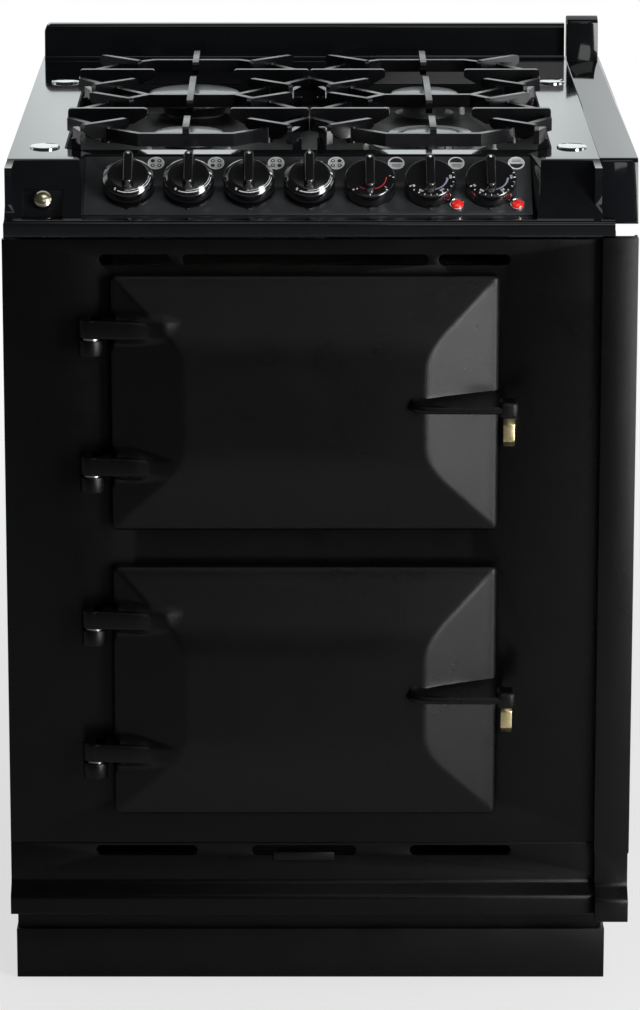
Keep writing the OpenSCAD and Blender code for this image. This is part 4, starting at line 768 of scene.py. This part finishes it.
def hinge_arm(points, faces, z0, zc):
    angles = [math.radians(a) for a in range(0, 360, 8)]
    circle = [(BOSS_R * math.cos(a), BOSS_R * math.sin(a)) for a in angles]
    bore = [(x * BORE_R / BOSS_R, y * BORE_R / BOSS_R) for x, y in circle]

    def level(ring, z):
        return [(HINGE_X + x, HINGE_Y + y, z0 + z) for x, y in ring]

    turns = [math.radians(a) for a in (0, 30, 60, 90)]
    rounding = [(BOSS_EDGE * (1 - math.sin(a)), BOSS_EDGE * (1 - math.cos(a))) for a in turns]
    loops = [level(bore, BORE_DEPTH), level(bore, 0.3)]
    loops += [level(inset(circle, d), h) for d, h in rounding]
    loops += [level(inset(circle, d), ARM_H - h) for d, h in reversed(rounding)]
    loft(points, faces, loops)
    bars = []
    for x in (*range(0, 24, 4), *range(24, 72, 6), 72, 80, 86):
        front = RIM_FRONT - arm_front(x - HINGE_OUT, zc) + 3.0 * ease(x, 66.0, 86.0)
        back = HINGE_Y + BOSS_R - 2 if x < 24 else -8.0
        ring = outline(front, 0, back, ARM_H, 3.4 + 2.2 * ease(x, 20.0, 80.0), 4)
        bars.append([(HINGE_X + x, y, z0 + z) for y, z in ring])
    loft(points, faces, bars)


print("boss and bore radius, mm:", BOSS_R, BORE_R)

# %% Handle: a fin with a blunt nose, filleted into the right bevel above and ending in a block
HANDLE_FRONT = -60.0
BLOCK_HALF, BLOCK_EDGE = 8.5, 4.5
# Stations along the fin and how far it stands out there
FIN = (
    (291, 45), (293, 49), (295, 52), (298, 55), (302, 57), (308, 58.6), (318, 59.6), (335, 60), (352, 60),
    (366, 60), (376, 60), (386, 60),
)


def door_handle(points, faces, z0):
    zc = z0 + HANDLE_Z
    fin = []
    for x, out in FIN:
        front = -float(out)
        root = RIM_FRONT - max(SLOPE * (DOOR_W - RIM_W - x), 2.0) + 4.0
        root = max(root, front + 7.0)
        blunt = ease(x, 288.0, 300.0)
        back = root - front
        ring = [(root, 11.0), (root - back * 0.2, 8.4), (root - back * 0.45, 6.2), (root - back * 0.7, 4.6),
                (front + 1.8, 3.3), (front + 0.6, 2.0), (front, 0.0), (front + 0.5, -2.0),
                (front + 1.8, -3.4), (front + 3.8, -4.2), (root, -5.4)]
        fin.append([(DOOR_X0 + x, y, zc + z * (0.4 + 0.6 * blunt)) for y, z in ring])
    loft(points, faces, fin)
    plan = outline(DOOR_X0 + 379, HANDLE_FRONT, DOOR_X0 + 398, -36, 5, 5)
    turns = [math.radians(v) for v in (0, 22, 45, 67, 90)]
    rounding = [(inset(plan, BLOCK_EDGE * (1 - math.sin(a))), BLOCK_EDGE * (1 - math.cos(a))) for a in turns]
    loops = [[(x, y, zc - BLOCK_HALF + h) for x, y in ring] for ring, h in rounding]
    loops += [[(x, y, zc + BLOCK_HALF - h) for x, y in ring] for ring, h in reversed(rounding)]
    loft(points, faces, loops)
    neck_root = outline(DOOR_X0 + 372, zc - 6, DOOR_X0 + 384, zc + 2.6, 2, 3)
    neck_end = outline(DOOR_X0 + 384, zc - 7, DOOR_X0 + 397, zc + 6, 2, 3)
    loft(points, faces, [[(x, -12, z) for x, z in neck_root], [(x, -38, z) for x, z in neck_end]])


print("handle stands out from the rim by, mm:", RIM_FRONT - HANDLE_FRONT)

# %% Put both doors together
for name, z0 in DOOR_Z.items():
    points, faces = [], []
    door_shell(points, faces, z0)
    for zc in ARM_Z:
        hinge_arm(points, faces, z0 + zc - ARM_H / 2, zc)
    door_handle(points, faces, z0)
    door = piece_from(name + "_casting", points, faces, "satin_enamel", body=name, stands_for=name)
    print(door.name, "points:", len(points))

# %% [markdown]
# ## The control panel
#
# The knobs stand on a panel that slopes back by 37 degrees. Every point here is given by its place on the
# panel: x across, s up the slope and h above the face. A knob is a turned skirt with a soft shoulder, and a
# grip bar that reaches from its lower edge to its rim. The scales and symbols are printed, so they are films
# 0.12 mm thick.

# %% Places on the sloping panel
PANEL_Y, PANEL_Z, PANEL_TILT = 13.5, 801.0, math.radians(37.22)
KNOB_S = 35.0
GAS_LIFT, OVEN_LIFT, GRIP_TOP = 7.0, 1.8, 22.5
GAS_KNOBS = {"gas_knob_1": -178.2, "gas_knob_2": -118.8, "gas_knob_3": -59.4, "gas_knob_4": 0.0}
OVEN_KNOBS = {"grill_knob": 59.4, "top_oven_knob": 118.8, "bottom_oven_knob": 178.2}
FILM, SUNK = 0.12, 0.3  # a print stands out by FILM and starts SUNK below the face
POINTER = (1.4, 0, 21.4, 16)  # the dot on a grip: radius, place and corners


def on_panel(x, s, h):
    """A place in the frame from a place on the panel."""
    c, sn = math.cos(PANEL_TILT), math.sin(PANEL_TILT)
    return (x, PANEL_Y + s * c - h * sn, PANEL_Z + s * sn + h * c)


def disc(r, cx=0.0, cs=0.0, steps=32):
    """Corners of a circle."""
    turns = [2 * math.pi * k / steps for k in range(steps)]
    return [(cx + r * math.cos(a), cs + r * math.sin(a)) for a in turns]


def turned(points, faces, x, s, profile, steps=64):
    """A round piece about an axis that stands on the panel at x, s. The profile lists radius and height."""
    loops = []
    for r, h in profile:
        loops.append([on_panel(x + px, s + ps, h) for px, ps in disc(max(r, 0.02), steps=steps)])
    loft(points, faces, loops)


def shoulder(r_in, r_out, h_low, h_top, steps=7):
    """A quarter ellipse from the skirt up to the face of a knob."""
    turns = [math.radians(90 * k / steps) for k in range(steps + 1)]
    return [(r_in + (r_out - r_in) * math.cos(a), h_low + (h_top - h_low) * math.sin(a)) for a in turns]


SKIRT = [(24.6, 0), (25.3, 0.4), (25.5, 1.4)]
GAS_PROFILE = SKIRT + [(25.3, 9.6), (25.0, 10.4), (24.4, 11.1), (19.9, 15.0), (19.1, 15.45), (18.2, 15.5)]
GAS_PROFILE += [(17.4, 15.1), (0, 15.1)]
OVEN_PROFILE = SKIRT + shoulder(23.4, 25.2, 12.6, 15.4) + [(12, 15.5), (0, 15.5)]
print("knobs:", len(GAS_KNOBS) + len(OVEN_KNOBS))


# %% Turning the knobs and adding their grips
# Half width, height and lower end of a grip, level by level
GRIP_LEVELS = (
    (6.4, 13.5, -18.5), (6.0, 15.2, -18.2), (5.4, 16.2, -17.6), (4.9, 18.5, -16.8), (4.6, 20.6, -16.2),
    (4.3, 21.6, -15.9), (3.7, 22.2, -15.4), (2.8, 22.45, -14.6), (1.4, GRIP_TOP, -13.2),
)


def grip(points, faces, x, base):
    loops = []
    for half, h, low in GRIP_LEVELS:
        high = 25.5 - (6.4 - half) * (0.2 if half > 4 else 0.9)
        ring = outline(-half, low, half, high, half * 0.98, 6)
        loops.append([on_panel(x + px, KNOB_S + ps, base + h) for px, ps in ring])
    loft(points, faces, loops)


for lift, profile, group in ((GAS_LIFT, GAS_PROFILE, GAS_KNOBS), (OVEN_LIFT, OVEN_PROFILE, OVEN_KNOBS)):
    for name, x in group.items():
        points, faces = [], []
        turned(points, faces, x, KNOB_S, [(r, lift + h) for r, h in profile])
        grip(points, faces, x, lift)
        piece_from(name + "_cap", points, faces, "knob_plastic", body=name, stands_for=name)
print("knob caps made")

# %% [markdown]
# A print is made of flat patches. Each patch is an outline with a thickness, so that it is a closed solid as
# well.


# %% Printed patches
def level_face(r):
    """Height of a face that is the same at every radius."""
    return 0.0


def patch(points, faces, ring, lift, centre, height=level_face):
    """A film on the panel or on a knob. The ring lists x and s from the centre."""
    x, s = centre
    loops = []
    for extra in (-SUNK, FILM):
        loops.append([on_panel(x + px, s + ps, lift + height(math.hypot(px, ps)) + extra) for px, ps in ring])
    loft(points, faces, loops)


def arc_band(points, faces, r0, r1, a0, a1, lift, centre, height=level_face, steps=24, taper=1.0):
    """A band between two radii. Angles start at the right, taper is the share of its width at the end."""
    x, s = centre
    mid = (r0 + r1) / 2
    loops = []
    for k in range(steps + 1):
        t = k / steps
        a = math.radians(a0 + (a1 - a0) * t)
        wide = (r1 - r0) / 2 * (1 - (1 - taper) * t)
        corners = [(mid - wide, -SUNK), (mid + wide, -SUNK), (mid + wide, FILM), (mid - wide, FILM)]
        c, sn = math.cos(a), math.sin(a)
        loops.append([on_panel(x + r * c, s + r * sn, lift + height(r) + e) for r, e in corners])
    loft(points, faces, loops)


def gas_surface(r):
    """Height of a gas knob's shoulder at a radius."""
    return 15.0 - (r - 19.9) * 3.9 / 4.5


for name, x in GAS_KNOBS.items():
    points, faces = [], []
    at = (x, KNOB_S)
    arc_band(points, faces, 22.0, 22.5, -6, -116, GAS_LIFT, at, gas_surface, taper=1.4)
    arc_band(points, faces, 20.6, 20.9, -4, -96, GAS_LIFT, at, gas_surface)
    for angle, size in ((6, 1.3), (-124, 1.1)):
        a = math.radians(angle)
        dot = disc(size, 21.8 * math.cos(a), 21.8 * math.sin(a), 16)
        patch(points, faces, dot, GAS_LIFT, at, gas_surface)
    patch(points, faces, disc(*POINTER), GAS_LIFT + GRIP_TOP, at)
    piece_from(name + "_marks", points, faces, "print_pale", body=name)
print("gas scales printed")


# %% [markdown]
# The grill and the ovens have scales with ticks and numbers, which the photograph shows on their knobs.

# %% Oven scales: ticks, numbers and a band that grows with the heat
FIGURE_SIZE, FIGURE_R = 3.3, 19.6
OVEN_FACE = OVEN_LIFT + 15.45
BOLD_TICKS = (1, 5, 9, 11)
GRILL_NUMBERS = ((5, "1"), (-40, "2"), (-85, "3"), (-130, "4"))
OVEN_NUMBERS = ((2, "250"), (-56, "200"), (-118, "100"), (-147, "50"))


def digits(points, faces, label, angle, lift, centre):
    """Flat figures from Blender's own font, with their tops towards the rim."""
    curve = bpy.data.curves.new("figures", "FONT")
    curve.body, curve.size, curve.align_x, curve.align_y = label, FIGURE_SIZE, "CENTER", "CENTER"
    curve.resolution_u = 2
    curve.extrude = 0.1
    maker = bpy.data.objects.new("figures", curve)
    mesh = bpy.data.meshes.new_from_object(maker)
    a = math.radians(angle)
    start = len(points)
    for v in mesh.vertices:
        radial, side = FIGURE_R + v.co.y, v.co.x
        px = radial * math.cos(a) + side * math.sin(a)
        ps = radial * math.sin(a) - side * math.cos(a)
        points.append(on_panel(centre[0] + px, centre[1] + ps, lift + v.co.z + 0.02))
    faces.extend([tuple(start + i for i in p.vertices) for p in mesh.polygons])
    bpy.data.objects.remove(maker)
    bpy.data.curves.remove(curve)
    bpy.data.meshes.remove(mesh)


for name, x in OVEN_KNOBS.items():
    at = (x, KNOB_S)
    points, faces = [], []
    grill = name == "grill_knob"
    for k in range(4 if grill else 12):
        angle = -45 * k if grill else 15 - 15 * k
        bold = grill or k in BOLD_TICKS
        inner, half = (22.0, 1.3) if bold else (22.3, 0.8)
        arc_band(points, faces, inner, 23.9, angle - half, angle + half, OVEN_FACE, at, steps=2)
    for angle, label in GRILL_NUMBERS if grill else OVEN_NUMBERS:
        digits(points, faces, label, angle, OVEN_FACE, at)
    patch(points, faces, disc(*POINTER), OVEN_LIFT + GRIP_TOP, at)
    piece_from(name + "_marks", points, faces, "print_white", body=name)
    points, faces = [], []
    if grill:
        arc_band(points, faces, 15.6, 16.4, 0, -130, OVEN_FACE, at, taper=0.3)
    else:
        arc_band(points, faces, 15.5, 17.6, -2, -112, OVEN_FACE, at, taper=0.1)
    piece_from(name + "_band", points, faces, "print_red" if grill else "print_lilac", body=name)
print("oven scales printed")

# %% [markdown]
# Beside each gas knob, four dots stand for the burners, and the dot of its own burner is dark. Beside the
# other knobs a dark half shows the upper or the lower oven.

# %% Symbols on the panel: a disc with a ring beside each knob
ICON_R, ICON_X, ICON_S = 8.2, 26.4, 69.0
BURNER_DOTS = ((-3.3, 3.1), (-3.3, -3.1), (3.3, -3.1), (3.3, 3.1))
# Heights above the panel: the disc, its ring, the signs on it and the marks on those
DISC_H, RING_H, SIGN_H, MARK_H = 0.05, 0.12, 0.17, 0.29
silver, white, black = ([], []), ([], []), ([], [])
for k, x in enumerate(list(GAS_KNOBS.values()) + list(OVEN_KNOBS.values())):
    at = (x + ICON_X, ICON_S)
    patch(*silver, disc(ICON_R), DISC_H, at)
    arc_band(*white, ICON_R - 0.9, ICON_R, 0, 360, RING_H, at, steps=40)
    if k < len(GAS_KNOBS):
        for j, (cx, cs) in enumerate(BURNER_DOTS):
            patch(*black, disc(2.1, cx, cs, 20), SIGN_H, at)
            if j != k:
                patch(*white, disc(0.9, cx, cs, 12), MARK_H, at)
        continue
    lower_oven = x == OVEN_KNOBS["bottom_oven_knob"]
    side = -1 if lower_oven else 1
    half = [(c, s) for c, s in disc(6.6, 0, 0, 40) if s * side > 0.4]
    half.sort(key=lambda p: side * math.atan2(side * p[1], p[0]))
    patch(*black, half, SIGN_H, at)
    for line in (-2.2 * side, -4.0 * side):
        low, high = line - 0.3, line + 0.3
        patch(*black, [(-4.4, low), (4.4, low), (4.4, high), (-4.4, high)], SIGN_H, at)
piece_from("panel_symbols_silver", *silver, "print_silver")
piece_from("panel_symbols_white", *white, "print_white")
piece_from("panel_symbols_black", *black, "print_black")
print("symbols:", len(GAS_KNOBS) + len(OVEN_KNOBS))

# %% Neon lights: a ring and a lens below each oven knob
NEON_X, NEON_S = 26, 14.0
RING_PROFILE = [(7.4, 0), (7.4, 1.3), (7.1, 1.8), (6.7, 1.9), (6.3, 1.6), (6.2, 0.6)]
LENS_PROFILE = [(6.2, 0.3), (6.15, 1.5), (5.7, 2.2), (4.7, 2.9), (3.2, 3.4), (1.6, 3.7), (0, 3.8)]
rings, lenses = ([], []), ([], [])
for name in ("top_oven_knob", "bottom_oven_knob"):
    x = OVEN_KNOBS[name] + NEON_X
    turned(*rings, x, NEON_S, RING_PROFILE, 48)
    turned(*lenses, x, NEON_S, LENS_PROFILE, 40)
piece_from("neon_rings", *rings, "bright_steel")
piece_from("neon_lenses", *lenses, "neon_lens", stands_for="neon_lights")
print("neon lights: 2")
